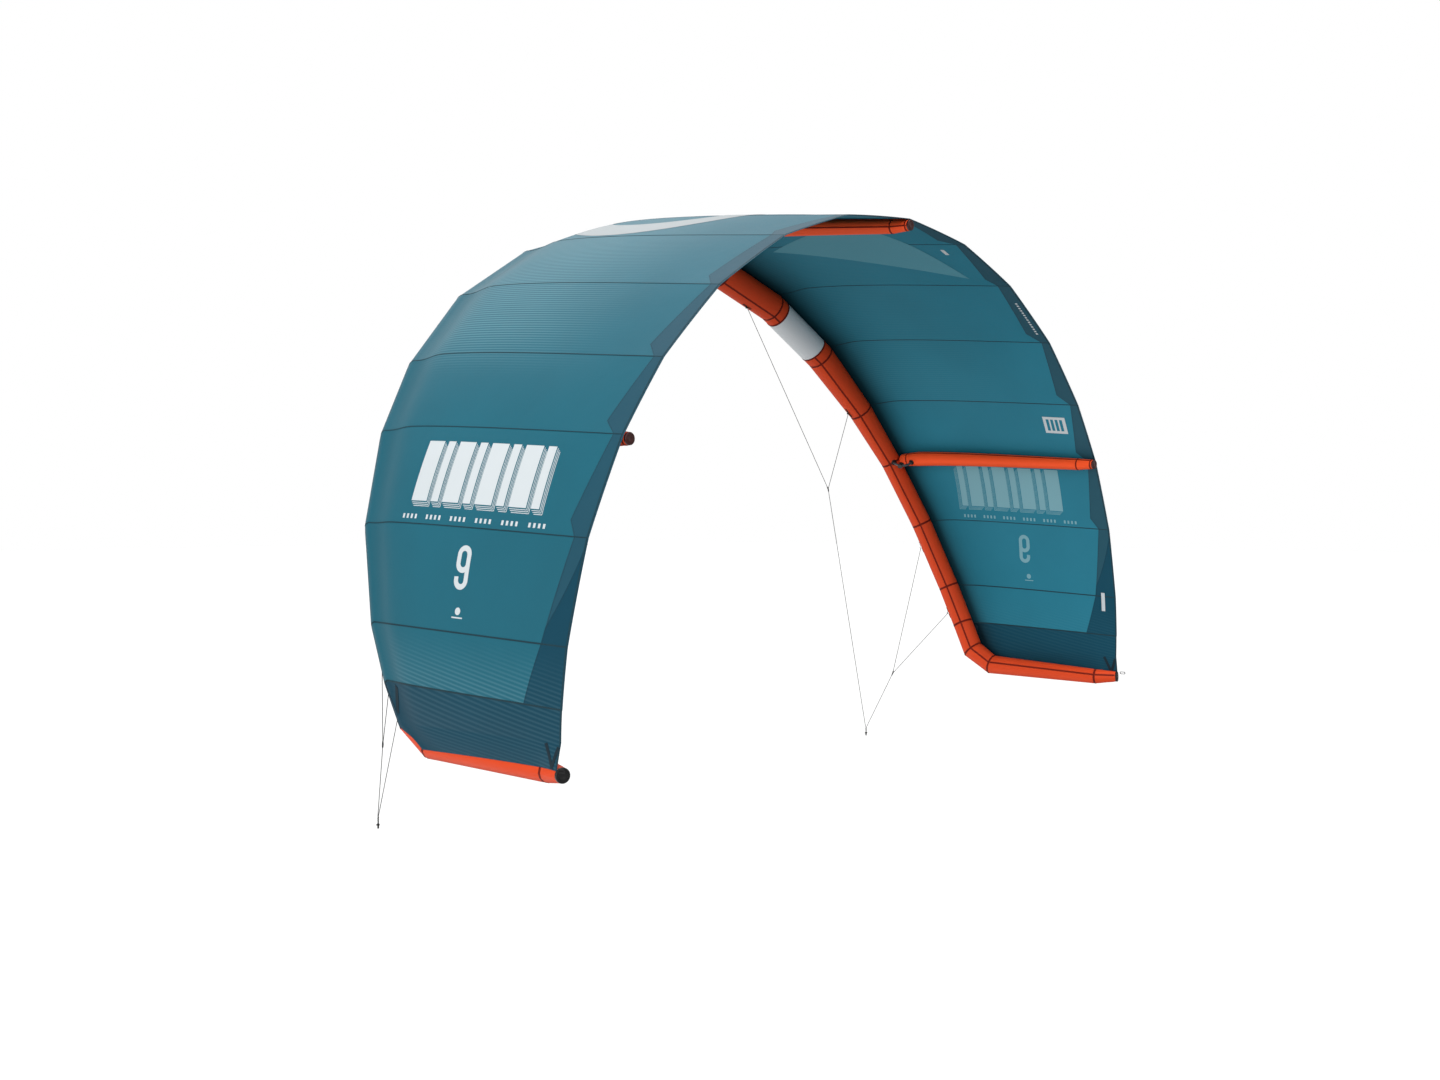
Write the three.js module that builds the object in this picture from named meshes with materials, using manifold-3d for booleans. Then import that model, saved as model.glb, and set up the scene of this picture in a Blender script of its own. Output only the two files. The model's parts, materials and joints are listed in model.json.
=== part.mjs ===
// Kitesurf kite: a leading-edge inflatable kite with three struts, in its flying shape.
// Millimetres, +Z up, X along the span, +Y from the trailing edge to the leading edge.
// The origin is the middle of the trailing edge, on the seam over the centre strut.
import * as THREE from 'three';
import { mergeVertices } from 'three/addons/utils/BufferGeometryUtils.js';
import Module from 'manifold-3d';

const wasm = await Module();
wasm.setup();

// Arch and planform. Angles are in degrees from the top of the arch.
const ARCH_RADIUS = 2100;
const SEAM_ANGLES = [0, 12.7, 25, 37.8, 49.7, 59.5, 70.6, 81.2, 87.1];
const SIDE_STRUT_SEAM = 5;
const TIP_ANGLE = 92.7;
const LAST_BEND = { tube: 91.3, edge: 90.2 };
const ROOT_CHORD = 1526;
const SWEEP = { depth: 0.42, power: 2.75 };
const EDGE_SWEEP = 27;
const NOSE_RISE = 32;
const TOE_IN = { start: 60, span: 32, depth: 55, power: 1.5 };

// Leading-edge tube, from the middle to the wingtip.
const TUBE_RADIUS = { middle: 80, outer: 57, taperStart: 38, taperEnd: 59.5 };
const WINGTIP = [
  { centre: [2050, 785, -2196], radius: 53 },
  { centre: [2062, 130, -2221], radius: 40 },
  { centre: [2097, 27, -2218], radius: 28 },
];
const WHITE_BAND = { start: 2.12, end: 2.85 };
const SLEEVE_WALL = 2;
const BLADDER_WALL = 1;
const SEWN_GAP = 0.4;

// Canopy section.
const CAMBER = { height: 0.028, skew: 0.55, blend: 0.08 };
const CANOPY = { wrap: 38, clearance: 3, thickness: 2 };
const EDGE_BAND = 80;
const TIP_WRAP = { front: -10, rear: 35, length: 0.86 };

// Struts.
const STRUT = { front: 44, rear: 30, end: 24, cone: 90, clearance: 4 };
const END_CAP = { flange: 12, plug: 18, inset: 5, slack: 4 };

// Bridle, on the right-hand side; the left one is its mirror image.
const LINE_RADIUS = 1.5;
const FRONT_JUNCTION = [1414, 1507, -1168];
const REAR_JUNCTION = [1862, 1356, -2272];
const PIGTAIL_TOP = [1784, 1496, -2600];
const ATTACH = { front_inner: 1.585, front_outer: 3.875, rear_inner: 6.318, rear_outer: 7.625 };

// Air system.
const VALVE = { station: 0.6, flange: 24, neck: 15, bore: 10, height: 14, direction: [0, -0.57, -0.82] };
const HOSE = { radius: 7, leave: 0.6, reach: 150, bow: 70 };
const CLIP = { width: 24, length: 28, thickness: 4, clearance: 4 };

const fabric = (color) => new THREE.MeshStandardMaterial({ color, roughness: 0.75, side: THREE.DoubleSide });
const plastic = (color) => new THREE.MeshStandardMaterial({ color, roughness: 0.45 });
const TEAL = fabric(0x2f7082);
const SLATE = fabric(0x4b7787);
const NAVY = fabric(0x24495c);
const ORANGE = fabric(0xd9542c);
const WHITE = fabric(0xe6eaec);
const BLADDER = new THREE.MeshStandardMaterial({ color: 0xd8dde0, roughness: 0.35 });
const BLACK = plastic(0x16181a);
const GREY = plastic(0x8d9296);
const LINE = fabric(0x3a3d40);

const kite = new THREE.Group();
kite.name = 'kitesurf_kite';

function add(name, geometry, material) {
  const mesh = new THREE.Mesh(geometry, material);
  mesh.name = name;
  kite.add(mesh);
  return mesh;
}

const vector = (values) => new THREE.Vector3(...values);
const radians = THREE.MathUtils.degToRad;
const mix = THREE.MathUtils.lerp;

// ---------------------------------------------------------------- solids

// Signed volume of an indexed mesh: negative when its faces point in.
function signedVolume(points, faces) {
  let sum = 0;
  for (let i = 0; i < faces.length; i += 3) {
    const [a, b, c] = [points[faces[i]], points[faces[i + 1]], points[faces[i + 2]]];
    sum += a.dot(new THREE.Vector3().crossVectors(b, c));
  }
  return sum / 6;
}

function closedGeometry(points, faces) {
  const outward = signedVolume(points, faces) > 0 ? faces : faces.slice().reverse();
  const geometry = new THREE.BufferGeometry();
  const positions = points.flatMap((p) => p.toArray());
  geometry.setAttribute('position', new THREE.Float32BufferAttribute(positions, 3));
  geometry.setIndex(outward);
  geometry.computeVertexNormals();
  return geometry;
}

// Skin over a row of rings. A looped skin joins its last ring to its first, as a hollow tube does.
function lofted(rings, looped = false) {
  const sides = rings[0].length;
  const points = rings.flat();
  const faces = [];
  const spans = looped ? rings.length : rings.length - 1;
  for (let i = 0; i < spans; i += 1) {
    const a = i * sides;
    const b = ((i + 1) % rings.length) * sides;
    for (let j = 0; j < sides; j += 1) {
      const k = (j + 1) % sides;
      faces.push(a + j, a + k, b + k, a + j, b + k, b + j);
    }
  }
  if (!looped) {
    capRing(points, faces, 0, sides, true);
    capRing(points, faces, (rings.length - 1) * sides, sides, false);
  }
  return closedGeometry(points, faces);
}

function capRing(points, faces, first, sides, flipped) {
  const centre = new THREE.Vector3();
  for (let j = 0; j < sides; j += 1) {
    centre.addScaledVector(points[first + j], 1 / sides);
  }
  const middle = points.push(centre) - 1;
  for (let j = 0; j < sides; j += 1) {
    const here = first + j;
    const next = first + (j + 1) % sides;
    faces.push(...(flipped ? [middle, next, here] : [middle, here, next]));
  }
}

// Thin closed solid between two grids of points that match row by row.
function slab(outer, inner) {
  const rows = outer.length;
  const columns = outer[0].length;
  const points = [...outer.flat(), ...inner.flat()];
  const top = (r, c) => r * columns + c;
  const under = (r, c) => rows * columns + top(r, c);
  const faces = [];
  const quad = (a, b, c, d) => faces.push(a, b, c, a, c, d);
  for (let r = 0; r < rows - 1; r += 1) {
    for (let c = 0; c < columns - 1; c += 1) {
      quad(top(r, c), top(r, c + 1), top(r + 1, c + 1), top(r + 1, c));
      quad(under(r, c), under(r + 1, c), under(r + 1, c + 1), under(r, c + 1));
    }
  }
  for (let c = 0; c < columns - 1; c += 1) {
    quad(top(0, c), under(0, c), under(0, c + 1), top(0, c + 1));
    quad(top(rows - 1, c), top(rows - 1, c + 1), under(rows - 1, c + 1), under(rows - 1, c));
  }
  for (let r = 0; r < rows - 1; r += 1) {
    quad(top(r, 0), top(r + 1, 0), under(r + 1, 0), under(r, 0));
    quad(top(r, columns - 1), under(r, columns - 1), under(r + 1, columns - 1), top(r + 1, columns - 1));
  }
  return closedGeometry(points, faces);
}

// Rings of a tube through stations { centre, radius }, mitred where it bends.
function tubeRings(stations, sides, reference) {
  const heading = (i) => stations[i + 1].centre.clone().sub(stations[i].centre).normalize();
  let along = heading(0);
  const across = reference.clone().addScaledVector(along, -reference.dot(along)).normalize();
  return stations.map((station, i) => {
    const next = i < stations.length - 1 ? heading(i) : along;
    const mitre = along.clone().add(next).normalize();
    const third = new THREE.Vector3().crossVectors(along, across);
    const ring = [];
    for (let j = 0; j < sides; j += 1) {
      const turn = (2 * Math.PI * j) / sides;
      const spoke = across.clone().multiplyScalar(Math.cos(turn) * station.radius);
      spoke.addScaledVector(third, Math.sin(turn) * station.radius);
      spoke.addScaledVector(along, -spoke.dot(mitre) / along.dot(mitre));
      ring.push(spoke.add(station.centre));
    }
    across.applyQuaternion(new THREE.Quaternion().setFromUnitVectors(along, next));
    along = next;
    return ring;
  });
}

const resized = (stations, scale, grow) => stations.map((s) => ({
  centre: s.centre,
  radius: s.radius * scale + grow,
}));

function toManifold(geometry) {
  const bare = geometry.clone();
  bare.deleteAttribute('normal');
  bare.deleteAttribute('uv');
  const merged = mergeVertices(bare, 1e-4);
  return new wasm.Manifold(new wasm.Mesh({
    numProp: 3,
    vertProperties: new Float32Array(merged.attributes.position.array),
    triVerts: new Uint32Array(merged.index.array),
  }));
}

function fromManifold(solid) {
  const mesh = solid.getMesh();
  const geometry = new THREE.BufferGeometry();
  geometry.setAttribute('position', new THREE.BufferAttribute(mesh.vertProperties, 3));
  geometry.setIndex(new THREE.BufferAttribute(mesh.triVerts, 1));
  return geometry;
}

// A round hole of the given radius through a wall, centred on a point of it.
function pierced(solid, point, direction, radius, depth) {
  const drill = new THREE.CylinderGeometry(radius, radius, depth, 12);
  drill.applyQuaternion(new THREE.Quaternion().setFromUnitVectors(new THREE.Vector3(0, 1, 0), direction));
  drill.translate(point.x, point.y, point.z);
  return solid.subtract(toManifold(drill));
}

// Places a mesh by its own origin, its Z direction and a rough X direction.
function place(mesh, origin, xAxis, zAxis) {
  const z = zAxis.clone().normalize();
  const x = xAxis.clone().addScaledVector(z, -xAxis.dot(z)).normalize();
  const y = new THREE.Vector3().crossVectors(z, x);
  mesh.quaternion.setFromRotationMatrix(new THREE.Matrix4().makeBasis(x, y, z));
  mesh.position.copy(origin);
  return mesh;
}

// ---------------------------------------------------------------- arch and tube

const outwardAt = (angle) => new THREE.Vector3(Math.sin(radians(angle)), 0, Math.cos(radians(angle)));

// A point on the trailing edge's arch.
function trailingEdge(angle) {
  const point = outwardAt(angle).multiplyScalar(ARCH_RADIUS);
  point.z -= ARCH_RADIUS;
  point.y = EDGE_SWEEP * (angle / TIP_ANGLE) ** 3;
  return point;
}

// The centre of the leading-edge tube.
function leadingEdge(angle) {
  const point = outwardAt(angle).multiplyScalar(ARCH_RADIUS);
  const past = Math.max(0, angle - TOE_IN.start) / TOE_IN.span;
  point.x -= TOE_IN.depth * past ** TOE_IN.power;
  point.y = ROOT_CHORD * (1 - SWEEP.depth * (angle / TIP_ANGLE) ** SWEEP.power);
  point.z += NOSE_RISE - ARCH_RADIUS;
  return point;
}

function tubeRadius(angle) {
  const share = (angle - TUBE_RADIUS.taperStart) / (TUBE_RADIUS.taperEnd - TUBE_RADIUS.taperStart);
  return mix(TUBE_RADIUS.middle, TUBE_RADIUS.outer, THREE.MathUtils.clamp(share, 0, 1));
}

// The tube's joints on the right-hand side, from the middle (0) to the wingtip's end (12).
const JOINTS = [...SEAM_ANGLES, LAST_BEND.tube].map((angle) => ({
  centre: leadingEdge(angle),
  radius: tubeRadius(angle),
}));
WINGTIP.forEach(({ centre, radius }) => JOINTS.push({ centre: vector(centre), radius }));
const LAST_JOINT = JOINTS.length - 1;

// The tube at a station counted in joints; negative stations are on the left.
function tubeAt(station) {
  const joint = Math.min(Math.floor(Math.abs(station)), LAST_JOINT - 1);
  const share = Math.abs(station) - joint;
  const [a, b] = [JOINTS[joint], JOINTS[joint + 1]];
  const centre = a.centre.clone().lerp(b.centre, share);
  centre.x *= station < 0 ? -1 : 1;
  return { centre, radius: mix(a.radius, b.radius, share) };
}

// Stations from one place on the tube to another, with every joint between them.
function tubeStretch(from, to) {
  const stations = [tubeAt(from)];
  for (let joint = Math.floor(from) + 1; joint < to; joint += 1) {
    stations.push(tubeAt(joint));
  }
  stations.push(tubeAt(to));
  return stations;
}

const FORWARD = new THREE.Vector3(0, 1, 0);

const mirrored = (stations, sign) => stations.map((s) => ({
  centre: s.centre.clone().multiply(new THREE.Vector3(sign, 1, 1)),
  radius: s.radius,
}));

function hollowTube(stations) {
  const outer = tubeRings(stations, 16, FORWARD);
  const inner = tubeRings(resized(stations, 1, -SLEEVE_WALL), 16, FORWARD);
  return lofted([...outer, ...inner.reverse()], true);
}

function tubeHeading(station) {
  const ahead = tubeAt(station + 0.05).centre;
  return ahead.sub(tubeAt(station - 0.05).centre).normalize();
}

// A point on the tube's skin, in the direction given, and that direction square to the tube.
function onTube(station, direction, stand = 0) {
  const { centre, radius } = tubeAt(station);
  const along = tubeHeading(station);
  const normal = direction.clone().addScaledVector(along, -direction.dot(along)).normalize();
  return { point: centre.addScaledVector(normal, radius + stand), normal };
}

const VALVE_SEAT = onTube(-VALVE.station, vector(VALVE.direction), 1);

function addLeadingEdge() {
  const gap = SEWN_GAP / 450;
  const middle = toManifold(hollowTube(tubeStretch(-WHITE_BAND.start, WHITE_BAND.start)));
  const holed = pierced(middle, VALVE_SEAT.point, VALVE_SEAT.normal, VALVE.bore + 2, 40);
  add('le_sleeve_center', fromManifold(holed), ORANGE);
  for (const [side, sign] of [['left', -1], ['right', 1]]) {
    const band = mirrored(tubeStretch(WHITE_BAND.start + gap, WHITE_BAND.end), sign);
    const outer = mirrored(tubeStretch(WHITE_BAND.end + gap, LAST_JOINT), sign);
    add(`le_white_band_${side}`, hollowTube(band), WHITE);
    add(`le_sleeve_${side}`, hollowTube(outer), ORANGE);
  }
}

function addLeadingEdgeBladder() {
  const stations = resized(tubeStretch(-11.7, 11.7), 0.94, -SLEEVE_WALL);
  const skin = toManifold(lofted(tubeRings(stations, 10, FORWARD)));
  const air = resized(stations, 1, -BLADDER_WALL);
  air[0].centre = tubeAt(-11.68).centre;
  air[air.length - 1].centre = tubeAt(11.68).centre;
  const hollow = skin.subtract(toManifold(lofted(tubeRings(air, 10, FORWARD))));
  const holed = pierced(hollow, VALVE_SEAT.point, VALVE_SEAT.normal, VALVE.bore, 60);
  add('le_bladder', fromManifold(holed), BLADDER);
}

// A stepped round plug: a flange outside the tube's mouth and a plug inside it, along +Z.
function plugGeometry(flangeRadius, plugRadius) {
  const edge = 3;
  const profile = [
    [0, -END_CAP.plug],
    [plugRadius, -END_CAP.plug],
    [plugRadius, 0],
    [flangeRadius, 0],
    [flangeRadius, END_CAP.flange - edge],
    [flangeRadius - edge, END_CAP.flange],
    [0, END_CAP.flange],
  ].map(([r, y]) => new THREE.Vector2(r, y));
  return new THREE.LatheGeometry(profile, 16).rotateX(Math.PI / 2);
}

function addTipCaps() {
  const end = WINGTIP[WINGTIP.length - 1].radius;
  for (const [side, sign] of [['left', -1], ['right', 1]]) {
    const heading = tubeAt(sign * LAST_JOINT).centre.sub(tubeAt(sign * (LAST_JOINT - 1)).centre).normalize();
    const mouth = tubeAt(sign * LAST_JOINT).centre.addScaledVector(heading, SEWN_GAP);
    const cap = add(`wingtip_cap_${side}`, plugGeometry(end, end - SLEEVE_WALL - END_CAP.slack), BLACK);
    place(cap, mouth, new THREE.Vector3(0, 0, 1), heading);
  }
}

// ---------------------------------------------------------------- canopy

// Height of the canopy over the line from the tube's centre to the trailing edge.
function canopyHeight(row, share) {
  const camber = row.camber * row.chord * Math.sin(Math.PI * share ** CAMBER.skew);
  return row.radius * (1 - share) + camber * THREE.MathUtils.smoothstep(share, 0, CAMBER.blend);
}

// A chordwise line of the canopy from a joint of the tube to the trailing edge.
function canopyRow(joint, edgeAngle, camber, wrap) {
  const nose = JOINTS[joint].centre;
  const edge = trailingEdge(edgeAngle);
  const heading = joint > 0 ? tubeHeading(joint) : new THREE.Vector3(1, 0, 0);
  const forward = nose.clone().sub(edge).projectOnPlane(heading).normalize();
  return {
    nose,
    edge,
    camber,
    wrap,
    chord: nose.distanceTo(edge),
    radius: JOINTS[joint].radius,
    outward: outwardAt(edgeAngle),
    forward,
  };
}

// Points of a row: round the tube from its front, then back to a share of the chord.
function rowPoints(row, shares, offset) {
  const points = [row.wrap, row.wrap / 2].map((turn) => row.nose.clone()
    .addScaledVector(row.outward, Math.cos(radians(turn)) * (row.radius + offset))
    .addScaledVector(row.forward, Math.sin(radians(turn)) * (row.radius + offset)));
  return [...points, ...chordPoints(row, shares, offset)];
}

function chordPoints(row, shares, offset) {
  return shares.map((share) => row.nose.clone().lerp(row.edge, share)
    .addScaledVector(row.outward, canopyHeight(row, share) + offset));
}

// The canopy's lowest row lies along the outer side of the wingtip tube.
function tipStation(share) {
  const knee = TIP_WRAP.length;
  return share < knee ? 10 + share / knee : 11 + (share - knee) / (1 - knee);
}

function tipPoints(shares, offset) {
  const stations = shares.map(tipStation);
  return stations.map((station, i) => {
    const { centre, radius } = tubeAt(Math.min(station, LAST_JOINT));
    const turn = radians(mix(TIP_WRAP.front, TIP_WRAP.rear, shares[i]));
    centre.x += Math.cos(turn) * (radius + CANOPY.clearance) + offset;
    centre.z += Math.sin(turn) * (radius + CANOPY.clearance);
    return centre;
  });
}

function tipNosePoints(offset) {
  return [9.7, 9.85].map((station) => {
    const { centre, radius } = tubeAt(station);
    centre.x += radius + CANOPY.clearance + offset;
    return centre;
  });
}

const ROWS = SEAM_ANGLES.map((angle, k) => {
  const last = SEAM_ANGLES.length - 1;
  return canopyRow(k, angle, CAMBER.height * (k === last ? 0.7 : 1), CANOPY.wrap - (k === last ? 5 : 0));
});
const BEND_ROW = canopyRow(SEAM_ANGLES.length, LAST_BEND.edge, CAMBER.height * 0.35, CANOPY.wrap - 14);
const CHORD_STEPS = [0, 0.03, 0.07, 0.13, 0.21, 0.31, 0.43, 0.57, 0.72, 0.87, 1];
const bandStart = (row) => 1 - EDGE_BAND / row.chord;

// Grids of one panel's rows at a height over the canopy's inner face.
function panelGrid(panel, offset) {
  const sharesOf = (row) => CHORD_STEPS.map((s) => s * bandStart(row));
  const rowAt = (row) => rowPoints(row, sharesOf(row), CANOPY.clearance + offset);
  const rows = [rowAt(ROWS[panel])];
  if (panel < ROWS.length - 1) {
    rows.push(rowAt(ROWS[panel + 1]));
  } else {
    rows.push(rowAt(BEND_ROW));
    rows.push([...tipNosePoints(offset), ...tipPoints(sharesOf(BEND_ROW), offset)]);
  }
  return rows;
}

// Draws the first and last rows in towards their neighbours, to leave the sewn gap.
function trimmed(rows) {
  const pull = (row, next) => row.map((p, i) => {
    const step = next[i].clone().sub(p);
    return p.clone().addScaledVector(step.normalize(), SEWN_GAP / 2);
  });
  const copy = rows.slice();
  copy[0] = pull(rows[0], rows[1]);
  copy[copy.length - 1] = pull(rows[rows.length - 1], rows[rows.length - 2]);
  return copy;
}

const flipped = (rows, sign) => rows.map((row) => row.map((p) => new THREE.Vector3(p.x * sign, p.y, p.z)));

function addCanopy() {
  for (const [side, sign] of [['left', -1], ['right', 1]]) {
    for (let panel = 0; panel < ROWS.length; panel += 1) {
      const inner = trimmed(panelGrid(panel, 0));
      const outer = trimmed(panelGrid(panel, CANOPY.thickness));
      const color = panel === ROWS.length - 1 ? NAVY : TEAL;
      add(`canopy_panel_${side}_${panel + 1}`, slab(flipped(outer, sign), flipped(inner, sign)), color);
    }
  }
}

// The band sewn along the whole trailing edge, from one wingtip to the other.
function addTrailingEdgeBand() {
  const half = (offset) => {
    const sharesOf = (row) => [bandStart(row) + SEWN_GAP / row.chord, 1];
    const rows = [...ROWS, BEND_ROW].map((row) => chordPoints(row, sharesOf(row), CANOPY.clearance + offset));
    rows.push(tipPoints(sharesOf(BEND_ROW), offset));
    return rows;
  };
  const whole = (offset) => [...flipped(half(offset), -1).reverse().slice(0, -1), ...half(offset)];
  add('trailing_edge_band', slab(whole(CANOPY.thickness), whole(0)), SLATE);
}

// ---------------------------------------------------------------- struts

function strutRadius(row, share) {
  const left = (1 - share) * row.chord;
  const along = mix(STRUT.front, STRUT.rear, share);
  return left < STRUT.cone ? mix(STRUT.end, along, left / STRUT.cone) : along;
}

// The strut's centre hangs under the canopy by its own radius.
function strutStation(row, share, sign) {
  const radius = strutRadius(row, share);
  const centre = row.nose.clone().lerp(row.edge, share);
  centre.addScaledVector(row.outward, canopyHeight(row, share) - radius - STRUT.clearance);
  centre.x *= sign;
  return { centre, radius };
}

function strutStations(row, sign) {
  const start = (row.radius + 8) / row.chord;
  const dome = [[0, 0.35], [0.006, 0.72], [0.016, 0.94], [0.032, 1]];
  const stations = dome.map(([back, size]) => {
    const { centre, radius } = strutStation(row, start + back, sign);
    return { centre, radius: radius * size };
  });
  const end = 1 - END_CAP.inset / row.chord;
  const cone = 1 - STRUT.cone / row.chord;
  const shares = [0.18, 0.3, 0.45, 0.6, 0.77, cone, end];
  return [...stations, ...shares.map((share) => strutStation(row, share, sign))];
}

const UP = new THREE.Vector3(0, 0, 1);

function addStrut(name, row, sign) {
  const stations = strutStations(row, sign);
  const outer = tubeRings(stations, 12, UP);
  const inside = resized(stations, 1, -SLEEVE_WALL);
  inside[0] = { centre: stations[0].centre.clone().lerp(stations[1].centre, 0.4), radius: inside[0].radius };
  const inner = tubeRings(inside, 12, UP);
  add(`strut_sleeve_${name}`, lofted([...outer, ...inner.reverse()]), ORANGE);
  addStrutBladder(name, row, sign);
  addStrutCap(name, row, sign);
  addHose(name, row, sign);
}

function addStrutBladder(name, row, sign) {
  const shares = [0.1, 0.18, 0.3, 0.45, 0.6, 0.77, 0.9, 0.95];
  const stations = resized(shares.map((share) => strutStation(row, share, sign)), 0.93, -SLEEVE_WALL);
  const air = resized(stations, 1, -BLADDER_WALL);
  const last = air.length - 1;
  const inset = (end, next) => stations[end].centre.clone().lerp(stations[next].centre, 0.02);
  air[0].centre = inset(0, 1);
  air[last].centre = inset(last, last - 1);
  const skin = toManifold(lofted(tubeRings(stations, 8, UP)));
  const hollow = skin.subtract(toManifold(lofted(tubeRings(air, 8, UP))));
  const port = hosePort(row, sign);
  const holed = pierced(hollow, port.point, port.normal, HOSE.radius - 2, 40);
  add(`strut_bladder_${name}`, fromManifold(holed), BLADDER);
}

function addStrutCap(name, row, sign) {
  const plug = plugGeometry(STRUT.end, STRUT.end - SLEEVE_WALL - END_CAP.slack);
  const cap = add(`strut_end_cap_${name}`, plug, BLACK);
  const { centre } = strutStation(row, 1, sign);
  centre.y += END_CAP.inset - SEWN_GAP * 3;
  place(cap, centre, UP, new THREE.Vector3(0, -1, 0));
}

// ---------------------------------------------------------------- air system

function hosePort(row, sign) {
  const inward = row.outward.clone().negate();
  inward.x *= sign;
  const { centre, radius } = strutStation(row, HOSE.reach / row.chord, sign);
  return { point: centre.addScaledVector(inward, radius + 1.5), normal: inward };
}

// A short hose from the leading edge to the strut, held at both ends.
function addHose(name, row, sign) {
  const port = hosePort(row, sign);
  const forward = row.forward.clone();
  forward.x *= sign;
  const leave = port.normal.clone().multiplyScalar(Math.sin(HOSE.leave));
  leave.addScaledVector(forward, -Math.cos(HOSE.leave)).normalize();
  const nose = row.nose.clone();
  nose.x *= sign;
  const start = nose.addScaledVector(leave, row.radius + 2);
  const bowed = [
    start,
    start.clone().addScaledVector(leave, HOSE.bow / 2).addScaledVector(port.normal, HOSE.bow / 4),
    port.point.clone().addScaledVector(port.normal, HOSE.bow),
    port.point,
  ];
  const curve = new THREE.CubicBezierCurve3(...bowed);
  add(`inflation_hose_${name}`, cordGeometry(curve, HOSE.radius, 10), GREY);
  addClip(name, curve, port.normal);
}

function roundedPlate(width, length, thickness) {
  const corner = width / 4;
  const [x, y] = [width / 2, length / 2];
  const outline = new THREE.Shape();
  outline.absarc(x - corner, y - corner, corner, 0, Math.PI / 2);
  outline.absarc(corner - x, y - corner, corner, Math.PI / 2, Math.PI);
  outline.absarc(corner - x, corner - y, corner, Math.PI, 1.5 * Math.PI);
  outline.absarc(x - corner, corner - y, corner, 1.5 * Math.PI, 2 * Math.PI);
  return new THREE.ExtrudeGeometry(outline, { depth: thickness, bevelEnabled: false, curveSegments: 3 });
}

// The pinch clip: a base on the hose's strut side and a lever hinged at its end.
function addClip(name, curve, away) {
  const middle = curve.getPoint(0.5);
  const along = curve.getTangent(0.5);
  const outside = away.clone().addScaledVector(along, -away.dot(along)).normalize();
  const across = new THREE.Vector3().crossVectors(along, outside);
  const stand = HOSE.radius + 1;
  const base = roundedPlate(CLIP.width, CLIP.length, CLIP.thickness);
  const seat = middle.clone().addScaledVector(outside, -stand - CLIP.clearance - CLIP.thickness);
  place(add(`hose_clip_base_${name}`, base, BLACK), seat, across, outside);
  const lever = roundedPlate(CLIP.width, CLIP.length, CLIP.thickness).translate(0, CLIP.length / 2, 0);
  const hinge = middle.clone().addScaledVector(outside, stand).addScaledVector(along, -CLIP.length / 2);
  place(add(`hose_clip_lever_${name}`, lever, BLACK), hinge, across, outside);
}

function addValve() {
  const { point, normal } = VALVE_SEAT;
  const profile = [
    [VALVE.bore, 0],
    [VALVE.flange, 0],
    [VALVE.flange, 2.5],
    [VALVE.neck + 2, 2.5],
    [VALVE.neck, 4.5],
    [VALVE.neck, VALVE.height],
    [VALVE.bore, VALVE.height],
    [VALVE.bore, 0],
  ].map(([r, y]) => new THREE.Vector2(r, y));
  const along = new THREE.Vector3(1, 0, 0);
  const body = new THREE.LatheGeometry(profile, 16).rotateX(Math.PI / 2);
  place(add('inflation_valve_body', body, BLACK), point, along, normal);

  const outline = new THREE.Shape();
  const reach = VALVE.neck + 9;
  const half = Math.asin(5 / VALVE.neck);
  outline.moveTo(5, 0);
  outline.lineTo(5, reach - VALVE.neck * Math.cos(half));
  outline.absarc(0, reach, VALVE.neck, half - Math.PI / 2, 1.5 * Math.PI - half);
  outline.lineTo(-5, 0);
  const lid = new THREE.ExtrudeGeometry(outline, { depth: 4, bevelEnabled: false, curveSegments: 18 });
  const cap = add('inflation_valve_cap', lid, BLACK);
  const hinge = point.clone().addScaledVector(normal, VALVE.height + 0.6);
  place(cap, hinge, along, normal);
  const down = new THREE.Vector3(0, -reach, 0).applyQuaternion(cap.quaternion);
  cap.position.add(down);
}

// ---------------------------------------------------------------- bridle

function cordGeometry(curve, radius, steps) {
  const section = new THREE.Shape();
  section.absarc(0, 0, radius, 0, 2 * Math.PI);
  return new THREE.ExtrudeGeometry(section, { steps, extrudePath: curve, curveSegments: 4 });
}

// Straight stretches of line through hand-chosen points.
function bridleLine(name, points, steps) {
  const path = new THREE.CurvePath();
  for (let i = 0; i < points.length - 1; i += 1) {
    path.add(new THREE.LineCurve3(points[i], points[i + 1]));
  }
  add(name, cordGeometry(path, LINE_RADIUS, steps), LINE);
}

function attachPoint(station, junction) {
  const direction = junction.clone().sub(tubeAt(station).centre).normalize();
  return onTube(station, direction, 2.5).point;
}

function addBridle(side, sign) {
  const mirror = (p) => new THREE.Vector3(p.x * sign, p.y, p.z);
  const front = vector(FRONT_JUNCTION);
  const rear = vector(REAR_JUNCTION);
  const end = vector(PIGTAIL_TOP);
  const frontEnd = end.clone().add(new THREE.Vector3(-3, 2, 1));
  const rearEnd = end.clone().add(new THREE.Vector3(3, -2, 1));
  const beside = (junction, from) => junction.clone().add(from.clone().sub(junction).setLength(5));
  const frontInner = attachPoint(ATTACH.front_inner, front);
  const frontOuter = attachPoint(ATTACH.front_outer, front);
  const rearInner = attachPoint(ATTACH.rear_inner, rear);
  const rearOuter = attachPoint(ATTACH.rear_outer, rear);
  bridleLine(`bridle_front_main_${side}`, [frontInner, front, frontEnd].map(mirror), 24);
  bridleLine(`bridle_front_branch_${side}`, [frontOuter, beside(front, frontOuter)].map(mirror), 6);
  bridleLine(`bridle_rear_main_${side}`, [rearInner, rear, rearEnd].map(mirror), 16);
  bridleLine(`bridle_rear_branch_${side}`, [rearOuter, beside(rear, rearOuter)].map(mirror), 5);
}

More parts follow.
